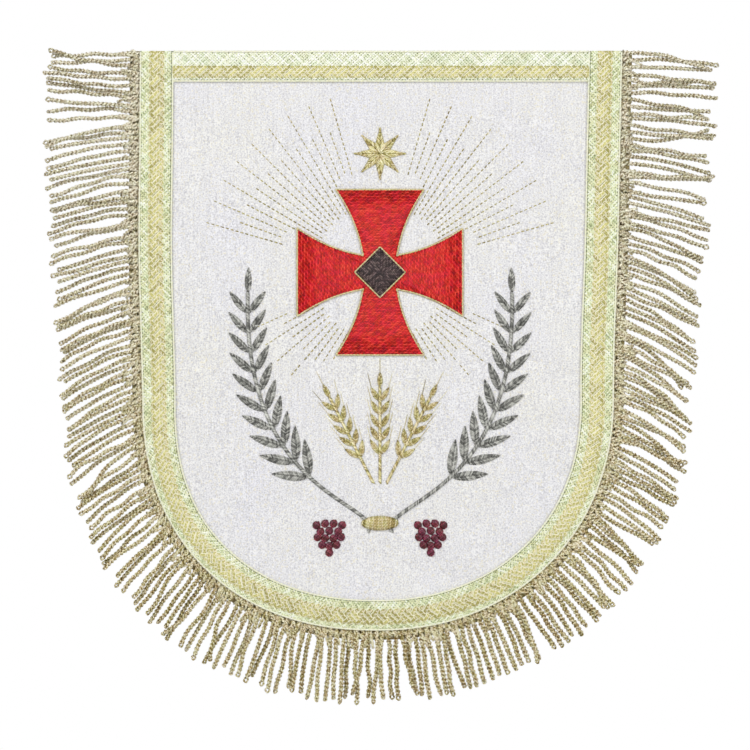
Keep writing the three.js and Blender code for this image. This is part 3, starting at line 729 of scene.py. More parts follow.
edge_along = even_steps(EDGE_LENGTH)
edge_path = on_cloth(*beside_edge(edge_along, EDGE_CORD["out"])[:2], EDGE_CORD["forward"])[None]
shape = twisted_tubes(edge_path, EDGE_CORD["radius"], EDGE_CORD["twist"], EDGE_CORD["points"])
# Its tone is low, so this cord also stands for the dark shadow line along the cloth's edge: painted shade.
edge_cord = put_mesh("fringe_edge_cord", *shape, ropy_tone([0.45], len(edge_along), EDGE_CORD["points"]))
finish_piece(edge_cord, bullion, "fringe_cord")


def stitches(name, start, end, forward, width, height=0.45, tone=0.0, spread=1.0, tuck=0.35):
    """Arched threads between two lists of points x, z on the cloth. Each has four rings of three
    points: two on the ground and one above, low at its ends, where it sinks in by `tuck`, and
    `height` high between. forward is the ground's height, as one number or two columns for the
    ends. Threads are drawn about 1 mm wide, where the real ones are 0.4 mm, so that they show."""
    start, end = np.asarray(start, float), np.asarray(end, float)
    count = len(start)
    ground = np.broadcast_to(forward, (count, 2))
    share = np.array([0, 0.2, 0.8, 1.0])
    middle = start[:, None] + (end - start)[:, None] * share[None, :, None]
    run = np.linalg.norm(end - start, axis=1)
    ahead = (end - start) / np.maximum(run, 1e-6)[:, None]
    side = np.stack([-ahead[:, 1], ahead[:, 0]], axis=-1)[:, None, None]
    wide = np.array([0.55, 1, 1, 0.55])[None, :, None, None]
    across = np.array([-0.5, 0, 0.5])[None, None, :, None]
    flat = middle[:, :, None] + side * across * wide * np.reshape(width, (-1, 1, 1, 1))
    level = ground[:, :1] + (ground[:, 1:] - ground[:, :1]) * share
    rise = np.array([0.15, 1, 1, 0.15])[None, :] * np.reshape(height, (-1, 1))
    forward_of = np.stack([level - tuck, level + rise, level - tuck], axis=-1)
    points = on_cloth(flat[..., 0], flat[..., 1], forward_of)
    quads, triangles = tube_faces(count, 4, 3)
    uv = strip_lie(run[:, None] * share, np.array([0, 0.5, 1.0]) * np.mean(width))
    shade = np.clip(tone + spread * (0.5 + 0.5 * uneven(np.arange(count), 11)), 0, 1)
    return put_mesh(name, points, quads, triangles, uv, np.repeat(shade, 12))


def chain_links():
    """Pairs of short slanting stitches, two to each link of the chain stitch."""
    links = np.arange(int(EDGE_LENGTH / CHAIN["link"]))
    starts, ends = [], []
    for hand in (-1, 1):
        feet = beside_edge(links * CHAIN["link"], CHAIN["out"] + hand * CHAIN["foot"])
        tops = beside_edge((links + CHAIN["longer"]) * CHAIN["link"], CHAIN["out"] + hand * CHAIN["top"])
        starts.append(np.stack(feet[:2], axis=-1))
        ends.append(np.stack(tops[:2], axis=-1))
    return np.concatenate(starts), np.concatenate(ends)


chain = stitches("fringe_chain", *chain_links(), TAPE_FRONT + CHAIN["forward"], 0.9, 0.75, 0.25, 0.5)
finish_piece(chain, bullion, "fringe_cord")


# Galloon: flat braid of pale gilt thread over a silver-green cotton ground. Broad strands are
# plaited two by two down its middle, fine ones cross beside them, and a cord binds each edge.
GALLOON_SIDE_WIDTH = 24.5
GALLOON_FOOT_WIDTH = 21.8
GALLOON_HEAD_WIDTH = 22.5
GALLOON_BACK = CLOTH_THICKNESS / 2
GALLOON_FACE = CLOTH_THICKNESS / 2 + LAYER_GAP + 0.75
# Zones lie between shares of the width, from the inner edge outwards. group is how many strands
# go over and under as one, pitch how far apart they cross the braid, and wander how unevenly.
FINE = {"pitch": 2.6, "width": 1.45, "rise": 0.3, "group": 1, "wander": 0.5}
HEAD_FINE = FINE | {"pitch": 2.4, "width": 1.35}
BROAD = {"pitch": 5.2, "width": 3.3, "rise": 0.62, "group": 2, "wander": 0.4}
BORDER_ZONES = {
    "outer": {"from": 0.69, "to": 0.965} | FINE,
    "middle": {"from": 0.245, "to": 0.715} | BROAD,
    "inner": {"from": 0.035, "to": 0.27} | FINE,
}
# The head braid's plait lies low, and fine strands fill the rest.
HEAD_ZONES = {
    "outer": {"from": 0.475, "to": 0.965} | HEAD_FINE,
    "middle": {"from": 0.1, "to": 0.5} | BROAD,
    "inner": {"from": 0.03, "to": 0.13} | HEAD_FINE | {"width": 1.1},
}
FOOT_SHIFT = 0.8
RIPPLE = {"height": 0.12, "wave": 8.6}
SELVEDGE = {"radius": 0.95, "twist": 6.4, "points": 6, "waist": 0.8, "tone": 0.6}
SELVEDGE_LIE = [{"share": -0.006, "rise": -0.1}, {"share": 0.974, "rise": 0.25}]
HEAD_LENGTH = HALF_WIDTHS["left"][0] + HALF_WIDTHS["right"][0] - 2 * GALLOON_SIDE_WIDTH


def border_spot(along, share):
    """x and z on the border braid: along its outer edge from top left, and a share of its width
    from the inner edge outwards. Round the foot it is a little narrower, and the plait lies further
    out and is wider: a share s becomes s + FOOT_SHIFT s^2 (1 - s)."""
    run = np.clip(along / EDGE_LENGTH, 0, 1)
    at_foot = smoothstep(np.minimum(run, 1 - run), 0.22, 0.36)
    width = GALLOON_SIDE_WIDTH + (GALLOON_FOOT_WIDTH - GALLOON_SIDE_WIDTH) * at_foot
    share = share + FOOT_SHIFT * at_foot * share**2 * (1 - share)
    return beside_edge(along, (share - 1) * width)[:2]


def head_spot(along, share):
    """x and z on the head braid, from the left border's inner edge to the right one's. A share of
    its width runs from the cloth's middle up to the head."""
    down = (1 - share) * GALLOON_HEAD_WIDTH
    left = GALLOON_SIDE_WIDTH - read_table(HALF_WIDTHS, down, "left")
    right = read_table(HALF_WIDTHS, down, "right") - GALLOON_SIDE_WIDTH
    return left + (right - left) * np.clip(along / HEAD_LENGTH, 0, 1), -down


def ground_strip(name, spot, length):
    """The braid's woven ground: a thin closed sheet with a slight ripple across it."""
    along = np.linspace(0, length, int(length / 3) + 1)[:, None]
    share = np.linspace(0.015, 0.985, 10)[None, :]
    x, z = spot(along + 0 * share, share + 0 * along)
    ripple = RIPPLE["height"] * np.sin(2 * np.pi * along / RIPPLE["wave"]) * np.sin(np.pi * share)
    front = on_cloth(x, z, GALLOON_FACE - 0.15 + ripple)
    back = on_cloth(x, z, GALLOON_BACK + 0 * ripple)
    uv = np.stack(np.broadcast_arrays(along, share * GALLOON_SIDE_WIDTH), axis=-1)
    return closed_sheet(name, front, back, uv)


def braid_strands(length, zone, seed):
    """Both families of slanting strands of one zone: strand k of a family crosses the zone at 45
    degrees, and goes over or under the other family by a sine of its place among the crossings.
    Gives strands by rings by (along, share), their lift and tone."""
    pitch, group = zone["pitch"], zone["group"]
    span = (zone["to"] - zone["from"]) * GALLOON_SIDE_WIDTH
    rings = max(6, int(span / pitch * 2 * (1.4 + 0.5 * group)) + 1)
    across = np.linspace(-0.5, 0.5, rings)[None, :] * span
    number = np.arange(-2, int(length / pitch) + 2)[:, None].astype(float)
    middle = (zone["from"] + zone["to"]) / 2
    strands, lifts, tones = [], [], []
    for family in (1, -1):
        along = number * pitch + family * across + zone["wander"] * uneven(number, seed + 2 * family)
        crossing = number + family * 2 * across / pitch
        own = np.where(np.floor(number / group) % 2, -1, 1)
        over = family * own * np.tanh(2.4 * np.sin(np.pi / group * (crossing + 0.5)))
        tucked = 1 - smoothstep(np.abs(across) / span, 0.44, 0.5) * 1.2
        strands.append(np.stack(np.broadcast_arrays(along, middle + across / GALLOON_SIDE_WIDTH), axis=-1))
        lifts.append((0.5 + 0.5 * over) * zone["rise"] * tucked - 0.12)
        tones.append(0.5 + (0.2 + 0.15 * group) * uneven(number[:, 0], seed + family))
    return np.concatenate(strands), np.concatenate(lifts), np.concatenate(tones)


def plait_tone(tones, down):
    """The broad strands' tone by how far down they lie: more even and paler where the border rounds into
    the foot, and deepest at the foot itself, painted shade as the light falls off downwards."""
    at_rounding = smoothstep(down, 265, 315) * (1 - smoothstep(down, 385, 415))
    tones = 0.5 + (tones - 0.5) * (1 - 0.45 * at_rounding)
    # Darker towards the foot: painted shade. Paler and more even where the border rounds.
    return tones + 0.26 + 0.16 * at_rounding - 0.32 * smoothstep(down, 385, 425)


def strand_mesh(name, spot, length, zone, seed):
    """The zone's strands as arched closed ribbons, five points wide on top and flat beneath, or
    three where they are fine. A fine strand's width follows its tone a little."""
    broad = zone["group"] == 2
    strands, lifts, tones = braid_strands(length, zone, seed)
    inside = (strands[..., 0].max(axis=1) > 0.7) & (strands[..., 0].min(axis=1) < length - 0.7)
    strands, lifts, tones = strands[inside], lifts[inside], tones[inside]
    strands[..., 0] = np.clip(strands[..., 0], 0.7, length - 0.7)
    count, rings = lifts.shape
    offsets = np.array([-1, -0.62, 0, 0.62, 1] if broad else [-1, 0, 1])
    arch = np.array([0, 0.8, 1, 0.8, 0] if broad else [0, 1, 0])
    heading = np.gradient(strands * np.array([1, GALLOON_SIDE_WIDTH]), axis=1)
    heading /= np.linalg.norm(heading, axis=-1, keepdims=True)
    side = np.stack([-heading[..., 1], heading[..., 0]], axis=-1)
    taper = np.ones(rings)
    taper[[0, -1]] = 0.6
    swell = 1 if broad else 0.85 + 0.5 * (tones[:, None, None] - 0.5)
    reach = offsets * zone["width"] / 2 * taper[:, None] * swell
    along = strands[..., 0, None] + side[..., 0, None] * reach
    share = strands[..., 1, None] + side[..., 1, None] * reach / GALLOON_SIDE_WIDTH
    x, z = spot(along, share)
    thick = 0.24 + 0.12 * (zone["group"] - 1)
    top = on_cloth(x, z, GALLOON_FACE + lifts[..., None] + thick * arch)
    under = on_cloth(x[..., [0, -1]], z[..., [0, -1]], GALLOON_FACE + lifts[..., None] - 0.3)
    ring = np.concatenate([top, under[..., ::-1, :]], axis=2)
    size = ring.shape[2]
    quads, triangles = tube_faces(count, rings, size)
    run = np.linspace(0, 1, rings) * (zone["to"] - zone["from"]) * GALLOON_SIDE_WIDTH * 1.41
    over = np.concatenate([offsets, [1, -1]]) * zone["width"] / 2
    uv = np.stack(np.broadcast_arrays(run[None, :, None], over[None, None, :]), axis=-1)
    uv = np.broadcast_to(uv, (count, rings, size, 2)).reshape(-1, 2)
    if broad:
        tones = plait_tone(tones, -z.mean(axis=(1, 2)))
    return put_mesh(name, ring, quads, triangles, uv, np.repeat(tones, rings * size))


# Silver-green cotton ground: dull, darker than the gilt, and seen only as flecks between strands.
braid_cotton = thread_material(
    "silver green braid cotton", ("#79825e", "#c0c698", "#e9eeca"), 0.0, 0.6, glint=1.4
)
# Broad gilt strands: flat film strips laid side by side, so they shine softly as one gold plane
# with a painted highlight along each edge, where the film turns over. Worn spots show pale and dark.
broad_gilt, tree, shader = new_material("broad gilt strands")
tone = add_node(tree, "ShaderNodeAttribute", attribute_name="tone").outputs["Fac"]
lie = add_node(tree, "ShaderNodeUVMap", uv_map="lie")
over = add_node(tree, "ShaderNodeSeparateXYZ", {"Vector": lie}).outputs["Y"]
from_middle = add_node(tree, "ShaderNodeMath", {0: over}, operation="ABSOLUTE")
wear = add_node(tree, "ShaderNodeTexNoise", {"Vector": lie, "Scale": 760.0, "Detail": 2.0})
# The strands' edges: painted highlight where the film turns over.
edge_highlight_range = {"Value": from_middle, "From Min": 0.00098, "From Max": 0.00138}
edge_highlight = add_node(tree, "ShaderNodeMapRange", edge_highlight_range)
worn_range = {"Value": wear, "From Min": 0.54, "From Max": 0.62, "To Max": 0.95}
worn = add_node(tree, "ShaderNodeMapRange", worn_range)
rubbed_range = {"Value": wear, "From Min": 0.48, "From Max": 0.36, "To Max": -0.9}
rubbed = add_node(tree, "ShaderNodeMapRange", rubbed_range)
shade = add_node(tree, "ShaderNodeMath", {0: tone, 1: rubbed}, operation="ADD")
shades = {0: shade, 6: linear("#9c9548"), 7: linear("#d8d288")}
body_tint = add_node(tree, "ShaderNodeMix", shades, data_type="RGBA")
shades = {0: worn, 6: body_tint, 7: linear("#fbefdc")}
worn_tint = add_node(tree, "ShaderNodeMix", shades, data_type="RGBA")
shades = {0: edge_highlight, 6: worn_tint, 7: linear("#fffde6")}
tint = add_node(tree, "ShaderNodeMix", shades, data_type="RGBA")
wave = {"Vector": lie, "Scale": 0.314 / (0.45 * MM), "Distortion": 0.6}
strips = add_node(tree, "ShaderNodeTexWave", wave, bands_direction="Y").outputs["Fac"]
bump = add_node(tree, "ShaderNodeBump", {"Height": strips, "Strength": 0.5, "Distance": 0.0002})
tree.links.new(tint.outputs[2], shader.inputs["Base Color"])
tree.links.new(bump.outputs["Normal"], shader.inputs["Normal"])
shader.inputs["Metallic"].default_value = 0.2
shader.inputs["Roughness"].default_value = 0.5
# Fine gilt strands: paler and rounder, with painted glints that sparkle as short dashes.
fine_gilt = thread_material("fine gilt strands", ("#a0a872", "#e9edbe", "#fcfff6"), 0.1, 0.4, glint=1.5)
# The head braid's fine strands are laid the other way to the light, and are painted almost white: painted
# light, a lit copy of the fine gilt.
head_gilt_painted_lit = thread_material("head gilt strands painted lit", ("#c4cca0", "#f4f8dc", "#ffffff"), 0.1, 0.4, glint=1.5)
# Selvedge cord: the palest gilt, laid close, so it draws one bright line along each edge. The outer
# one sits on the strands' ends, and the inner one beside them, down on the linen.
selvedge_gilt = thread_material("pale gilt selvedge cord", ("#e4e6b6", "#fbfbd6", "#ffffff"), 0.0, 0.4)

BRAIDS = {
    "border": {"spot": border_spot, "length": EDGE_LENGTH, "zones": BORDER_ZONES, "fine": fine_gilt},
    "head": {"spot": head_spot, "length": HEAD_LENGTH, "zones": HEAD_ZONES, "fine": head_gilt_painted_lit},
}
for name, braid in BRAIDS.items():
    spot, length, node = braid["spot"], braid["length"], f"galloon_{name}"
    finish_piece(ground_strip(f"{node}_ground", spot, length), braid_cotton, "galloon", node)
    for seed, (zone_name, zone) in enumerate(braid["zones"].items()):
        strands = strand_mesh(f"{node}_{zone_name}", spot, length, zone, 20 + 5 * seed)
        finish_piece(strands, broad_gilt if zone["group"] == 2 else braid["fine"], "galloon", node)
    along = even_steps(length)
    lines = [
        on_cloth(*spot(along, np.full_like(along, lie["share"])), GALLOON_FACE + lie["rise"])
        for lie in SELVEDGE_LIE
    ]
    points, quads, triangles, uv = twisted_tubes(
        np.stack(lines), SELVEDGE["radius"], SELVEDGE["twist"], SELVEDGE["points"], SELVEDGE["waist"]
    )
    tone = np.full(len(points), SELVEDGE["tone"])
    cords = put_mesh(f"{node}_selvedge", points, quads, triangles, uv, tone)
    finish_piece(cords, selvedge_gilt, "galloon", node)


# Embroidered cross: red rayon floss laid over a padded ground in rows of short stitches that run
# across each arm, edged with a couched gilt cord.
EMBLEM_X = 1.5
CROSS = {"z": -166, "reach": 62, "waist": 12, "flare": 33}
CROSS_MIDDLE = np.array([EMBLEM_X, CROSS["z"]])
PAD_FOOT = CLOTH_THICKNESS / 2 - 0.2
PAD_FACE = CLOTH_THICKNESS / 2 + 0.75
# Pads take a low tone so the gaps between stitches read dark: painted shade between the threads.
PAD_SHADE_TONE = 0.1
FILLING = {"width": 1.25, "step": 1.15, "length": 3.6, "rise": 0.5, "stagger": 0.37, "shortest": 0.9}
COUCHED = {"step": 0.8, "twist": 5.0, "points": 8, "waist": 0.7, "tone": 0.6}


def direction(turn):
    """The x and z of one step at an angle from +X."""
    return np.stack([np.cos(turn), np.sin(turn)], axis=-1)


def quarter_turned(ahead):
    """Directions turned a quarter turn, from +X towards +Z."""
    return np.stack([-ahead[..., 1], ahead[..., 0]], axis=-1)


def join_rows(rows):
    """Many rows of stitches, each a pair of starts and ends, as one pair."""
    return tuple(np.concatenate(side) for side in zip(*rows))


def along_line(line, at):
    """The points at lengths `at` along a line of x, z points."""
    run = run_along(line[None])[0]
    return np.stack([np.interp(at, run, line[:, k]) for k in (0, 1)], axis=-1)


def fill_rows(inside, reach, angle):
    """Brick-laid stitches that fill a shape about the cross's middle: rows run at an angle over the
    square of that reach, each is kept where `inside` holds, and the stretch is cut into stitches,
    each row's cuts shifted by `stagger` of a stitch. Gives starts and ends as x, z."""
    length = FILLING["length"]
    radius = np.linalg.norm([reach, reach])
    ahead = direction(angle)
    fine = np.arange(-radius, radius, 0.2)
    rows = []
    for row, offset in enumerate(np.arange(-radius, radius, FILLING["step"])):
        line = CROSS_MIDDLE + quarter_turned(ahead) * offset
        held = np.concatenate([[False], inside(*(line + fine[:, None] * ahead).T), [False]])
        changes = np.flatnonzero(held[1:] != held[:-1])
        for first, last in zip(changes[::2], changes[1::2]):
            a, b = fine[first], fine[min(last, len(fine) - 1)]
            if b - a < 0.8:
                continue
            shift = length * ((row * FILLING["stagger"]) % 1)
            cuts = np.arange(np.floor(a / length) * length + shift - length, b, length)
            apart = (cuts > a + FILLING["shortest"]) & (cuts < b - FILLING["shortest"])
            cuts = line + np.concatenate([[a], cuts[apart], [b]])[:, None] * ahead
            rows.append((cuts[:-1], cuts[1:]))
    return join_rows(rows)


def cross_half_width(out):
    """Half the width of an arm at a distance from the middle: it widens with its square."""
    return CROSS["waist"] + (CROSS["flare"] - CROSS["waist"]) * (out / CROSS["reach"]) ** 2


def in_arm(turn):
    """Whether points lie in the arm that points `turn` quarter turns from +X, short of its diagonals."""
    ahead = direction(turn * np.pi / 2)

    def inside(x, z):
        out = (x - EMBLEM_X) * ahead[0] + (z - CROSS["z"]) * ahead[1]
        aside = np.abs(-(x - EMBLEM_X) * ahead[1] + (z - CROSS["z"]) * ahead[0])
        widest = cross_half_width(np.clip(out, 0, CROSS["reach"]))
        return (out > aside) & (out < CROSS["reach"]) & (aside < widest)

    return inside


def flat_patch(name, outline, foot, face, rings=4):
    """A closed pad from an outline of x, z points: rings drawn in to its middle on both faces, the
    front one rounded over at its edge as 0.35 + 0.65 sqrt(1 - share^6)."""
    middle = outline.mean(axis=0)
    share = np.linspace(1, 1 / rings, rings)
    ring = middle + (outline - middle)[None] * share[:, None, None]
    swell = 0.35 + 0.65 * np.sqrt(np.clip(1 - share**6, 0, 1))
    front = on_cloth(ring[..., 0], ring[..., 1], (foot + (face - foot) * swell)[:, None])
    back = on_cloth(ring[..., 0], ring[..., 1], foot)
    count = len(outline)
    total = rings * count
    place = np.arange(total).reshape(rings, count)
    after = np.roll(place, -1, axis=1)
    skin = np.stack([place[:-1], place[1:], after[1:], after[:-1]], axis=-1).reshape(-1, 4)
    wall = np.stack([place[0], after[0], after[0] + total, place[0] + total], axis=-1)
    hubs = on_cloth(middle[0], middle[1], np.array([face, foot]))
    fan = np.stack([np.full(count, 2 * total), after[-1], place[-1]], axis=-1)
    back_fan = np.stack([np.full(count, 2 * total + 1), place[-1] + total, after[-1] + total], axis=-1)
    points = np.concatenate([front.reshape(-1, 3), back.reshape(-1, 3), hubs])
    quads = np.concatenate([skin, skin[:, ::-1] + total, wall])
    tone = np.full(len(points), PAD_SHADE_TONE)
    return put_mesh(name, points, quads, np.concatenate([fan, back_fan]), points[:, [0, 2]], tone)


def couched_cord(name, outline, forward, radius):
    """A twisted cord laid along a closed line of x, z points."""
    outline = np.concatenate([outline, outline[:1]])
    length = run_along(outline[None])[0, -1]
    line = along_line(outline, np.linspace(0, length, max(4, int(length / COUCHED["step"]))))
    path = on_cloth(line[:, 0], line[:, 1], forward)[None]
    shape = twisted_tubes(path, radius, COUCHED["twist"], COUCHED["points"], COUCHED["waist"])
    return put_mesh(name, *shape, np.full(len(shape[0]), COUCHED["tone"]))


arm_out = np.linspace(CROSS["waist"], CROSS["reach"], 15)
arm_side = np.stack([arm_out, cross_half_width(arm_out)], axis=-1)
arm_side[0] = CROSS["waist"] * 1.03
arm_end = np.stack([np.full(9, CROSS["reach"]), np.linspace(1, -1, 11)[1:-1] * CROSS["flare"]], axis=-1)
arm_outline = np.concatenate([arm_side, arm_end, (arm_side * [1, -1])[::-1]])[:-1]
arm_axes = [(direction(turn), quarter_turned(direction(turn))) for turn in np.arange(4) * np.pi / 2]
cross_outline = np.concatenate([arm_outline[::-1] @ np.array(axes) for axes in arm_axes]) + CROSS_MIDDLE

# Rayon floss: bright, smooth filament thread. Rows laid in one direction shine together, so each
# arm of the cross takes the light a little differently.
red_floss = thread_material("red rayon floss", ("#980307", "#e20a10", "#ff4a3e"), 0.0, 0.5, drift=0.004)
cross_pad = flat_patch("cross_pad", cross_outline, PAD_FOOT, PAD_FACE)
finish_piece(cross_pad, red_floss, "red_thread", "cross")
cross_rows = [fill_rows(in_arm(turn), CROSS["reach"], turn * np.pi / 2 + np.pi / 2) for turn in range(4)]
cross_floss = stitches("cross_floss", *join_rows(cross_rows), PAD_FACE, FILLING["width"], FILLING["rise"])
finish_piece(cross_floss, red_floss, "red_thread", "cross")
# Gilt embroidery thread: finer film than the fringe's, wound close, so it is smoother and yellower.
gilt_floss = thread_material("gilt embroidery thread", ("#7d6d35", "#cfc07c", "#fff8d8"), 0.2, 0.34)
cross_cord = couched_cord("cross_cord", cross_outline, PAD_FACE + 0.1, 0.85)
finish_piece(cross_cord, gilt_floss, "gold_thread", "cross")


# Lozenge: brown floss worked in four fields over the middle of the cross, with a gilt edge.
LOZENGE = {"reach": 19, "face": PAD_FACE + 1.0, "cord": 0.7}


def cut_sides(corners, steps):
    """The closed line through corners, with each of its sides cut into equal steps."""
    share = np.linspace(0, 1, steps + 1)[:-1, None]
    return np.concatenate([a + (b - a) * share for a, b in zip(corners, np.roll(corners, -1, axis=0))])


def in_quarter(side, up):
    """Whether points lie in one quarter of the lozenge, side and up being 1 or -1."""

    def inside(x, z):
        out, rise = (x - EMBLEM_X) * side, (z - CROSS["z"]) * up
        return (out > 0) & (rise > 0) & (out + rise < LOZENGE["reach"])

    return inside


lozenge_corners = np.array([[1, 0], [0, 1], [-1, 0], [0, -1]]) * LOZENGE["reach"]
lozenge_outline = cut_sides(lozenge_corners, 8) + CROSS_MIDDLE
brown_floss = thread_material("brown rayon floss", ("#1f1415", "#443031", "#8a7470"), 0.0, 0.4)
lozenge_pad = flat_patch("lozenge_pad", lozenge_outline, PAD_FACE, LOZENGE["face"])
finish_piece(lozenge_pad, brown_floss, "brown_thread", "lozenge")
lozenge_rows = [
    fill_rows(in_quarter(side, up), LOZENGE["reach"], side * up * np.pi / 4)
    for side, up in ((1, 1), (-1, 1), (-1, -1), (1, -1))
]
lozenge_floss = stitches(
    "lozenge_floss", *join_rows(lozenge_rows), LOZENGE["face"], FILLING["width"], FILLING["rise"]
)
finish_piece(lozenge_floss, brown_floss, "brown_thread", "lozenge")
lozenge_cord = couched_cord("lozenge_cord", lozenge_outline, LOZENGE["face"], LOZENGE["cord"])
finish_piece(lozenge_cord, gilt_floss, "gold_thread", "lozenge")


# Star: eight gilt points, each in two fields of satin stitch that meet along its ridge.
STAR = {"z": -77, "outer": 20, "inner": 8.5, "points": 8, "crown": 0.5, "fall": 0.3, "step": 0.95}


def satin_fields(middle, tips, flanks):
    """Satin stitches from each tip's ridge line out to its two flanks: at shares of the way from
    middle to tip, a stitch runs from the ridge to the line from flank to tip."""
    rows = []
    for tip, *pair in zip(tips, *flanks):
        count = int(np.linalg.norm(tip - middle) / STAR["step"])
        share = (np.arange(count) + 0.5)[:, None] / count
        bent = np.clip(share - 0.12, 0, 1)
        rows += [(middle + (tip - middle) * share, flank + (tip - flank) * bent) for flank in pair]
    return join_rows(rows)


star_middle = np.array([EMBLEM_X, STAR["z"]])
star_angles = np.arange(2 * STAR["points"]) * np.pi / STAR["points"]
star_reach = np.where(np.arange(2 * STAR["points"]) % 2, STAR["inner"], STAR["outer"])
star_corners = direction(star_angles) * star_reach[:, None] + star_middle
valleys = star_corners[1::2]
star_pad = flat_patch("star_pad", cut_sides(star_corners, 3), PAD_FOOT, PAD_FACE)
finish_piece(star_pad, gilt_floss, "gold_thread", "star")
star_rows = satin_fields(star_middle, star_corners[::2], (valleys, np.roll(valleys, 1, axis=0)))
star_floss = stitches("star_floss", *star_rows, [PAD_FACE + STAR["crown"], PAD_FACE - STAR["fall"]], 1.05)
finish_piece(star_floss, gilt_floss, "gold_thread", "star")


# Branches: two leafy sprays in silver-grey floss, each leaf two fields of slanting satin stitch
# either side of its vein, on a stem of short stitches.
STEM = np.array([[9, -361], [-2, -337], [104, -337], [99, -181]], float)
STEM_STITCH = {"apart": 0.825, "slant": 1.1, "face": CLOTH_THICKNESS / 2 + 0.7}
BRANCH = {"width": 2.6, "from": 0.3, "pairs": 10, "length": 27, "widest": 7.4, "shrink": 0.3, "turn": 38}
BRANCH_LEAF = {"step": 1.05, "slant": 2.6, "width": 1.15, "pad": 0.75}
# Heights of a leaf's stitches above the cloth's middle, at its vein and at its edge.
BRANCH_LEVELS = (CLOTH_THICKNESS / 2 + 1.0, CLOTH_THICKNESS / 2 + 0.35)


def bezier(guides, count):
    """A cubic curve at equal steps of its length, and its direction. Of four guiding points it is
    (1 - t)^3 a + 3 t (1 - t)^2 b + 3 t^2 (1 - t) c + t^3 d."""
    a, b, c, d = guides
    t = np.linspace(0, 1, 400)[:, None]
    curve = (1 - t) ** 3 * a + 3 * t * (1 - t) ** 2 * b + 3 * t * t * (1 - t) * c + t**3 * d
    points = along_line(curve, np.linspace(0, run_along(curve[None])[0, -1], count))
    heading = np.gradient(points, axis=0)
    return points, np.arctan2(heading[:, 1], heading[:, 0])


def spray_leaves(points, headings, spray):
    """The foot, heading, length and width of each leaf: pairs from a share of the stem on, turned
    either way from it and shrinking towards its tip, and one leaf at the tip."""
    leaves = []
    for pair in range(spray["pairs"]):
        place = round((spray["from"] + (1 - spray["from"]) * pair / spray["pairs"]) * (len(points) - 1))
        size = 1 - spray["shrink"] * pair / spray["pairs"]
        for hand in (-1, 1):
            foot = points[place] + direction(headings[place] - hand * np.pi / 2) * spray["width"] / 2
            turn = headings[place] - hand * np.radians(spray["turn"])
            leaves.append((*foot, turn, spray["length"] * size, spray["widest"] * size))
    size = 1 - spray["shrink"]
    leaves.append((*points[-1], headings[-1], spray["length"] * size, spray["widest"] * size))
    leaves = np.array(leaves)
    return leaves[:, :2], *leaves[:, 2:].T


def leaf_half_width(share):
    """A leaf's half width at a share of its length, as a share of its widest: sin(pi s^0.8)^0.8,
    which is fullest just short of the middle and ends in a point."""
    return 0.5 * np.sin(np.pi * np.clip(share, 0, 1) ** 0.8) ** 0.8


def leaf_stitches(feet, turns, lengths, widths, step, slant):
    """Satin stitches from each leaf's vein out to its edge, slanting forward, on both sides."""
    rows = []
    for foot, turn, length, width in zip(feet, turns, lengths, widths):
        ahead = direction(turn)
        count = int(length / step)
        along = (np.arange(count) + 0.3) * length / count
        reached = np.minimum(along + slant * leaf_half_width(along / length) * 2, length)
        half = np.maximum(width * leaf_half_width(reached / length), 0.25)[:, None] * quarter_turned(ahead)
        vein, edge = foot + along[:, None] * ahead, foot + reached[:, None] * ahead
        rows += [(vein, edge - half), (vein, edge + half)]
    return join_rows(rows)


def stem_stitches(points, width):
    """Short stitches that cross a stem at a slant, one behind another."""
    at = np.arange(0.5, run_along(points[None])[0, -1], STEM_STITCH["apart"])
    middle = along_line(points, at)
    ahead = along_line(points, at + 0.4) - along_line(points, at - 0.4)
    ahead /= np.linalg.norm(ahead, axis=1, keepdims=True)
    half = quarter_turned(ahead) * width / 2 + ahead * STEM_STITCH["slant"]
    return middle - half, middle + half


def low_pads(name, flat, forward):
    """Closed pads under stitches, from x and z as pads by rings by points, and how far forward."""
    points = on_cloth(flat[..., 0], flat[..., 1], forward)
    quads, triangles = tube_faces(*points.shape[:3])
    points = points.reshape(-1, 3)
    return put_mesh(name, points, quads, triangles, points[:, [0, 2]], np.full(len(points), PAD_SHADE_TONE))


def leaf_pads(name, feet, turns, lengths, widths, height):
    """Thin pads under the leaves: each a closed tube of six-sided section drawn to its vein."""
    share, angle = np.linspace(0.01, 0.99, 9), 2 * np.pi * np.arange(6) / 6
    ahead = direction(turns)
    middle = feet[:, None] + ahead[:, None] * (lengths[:, None] * share)[..., None]
    half = (widths[:, None] * leaf_half_width(share) * 0.96)[..., None]
    flat = middle[:, :, None] + quarter_turned(ahead)[:, None, None] * (half * np.cos(angle))[..., None]
    return low_pads(name, flat, CLOTH_THICKNESS / 2 + height * np.sin(angle) * np.minimum(half / 1.5, 1))


def for_rows(rows, values):
    """A value for each row of stitches, given to every stitch in it."""
    return np.repeat(values, [len(row[0]) for row in rows], axis=0)


# Silver-grey floss: rayon twisted with a fine silver film, cool and slightly metallic.
grey_floss = thread_material("silver grey floss", ("#474744", "#94948e", "#e4e4dd"), 0.2, 0.38)
for side, name in ((-1, "left"), (1, "right")):
    points, headings = bezier(STEM * [side, 1] + [EMBLEM_X, 0], 401)
    leaves = spray_leaves(points, headings, BRANCH)
    pads = leaf_pads(f"branch_{name}_pads", *leaves, BRANCH_LEAF["pad"])
    finish_piece(pads, grey_floss, "silver_thread", f"branch_{name}")
    leaf_rows = leaf_stitches(*leaves, BRANCH_LEAF["step"], BRANCH_LEAF["slant"])
    rows = [leaf_rows, stem_stitches(points, BRANCH["width"])]
    ground = for_rows(rows, [BRANCH_LEVELS, (STEM_STITCH["face"], STEM_STITCH["face"])])
    sprig = stitches(f"branch_{name}_floss", *join_rows(rows), ground, BRANCH_LEAF["width"])
    finish_piece(sprig, grey_floss, "silver_thread", f"branch_{name}")


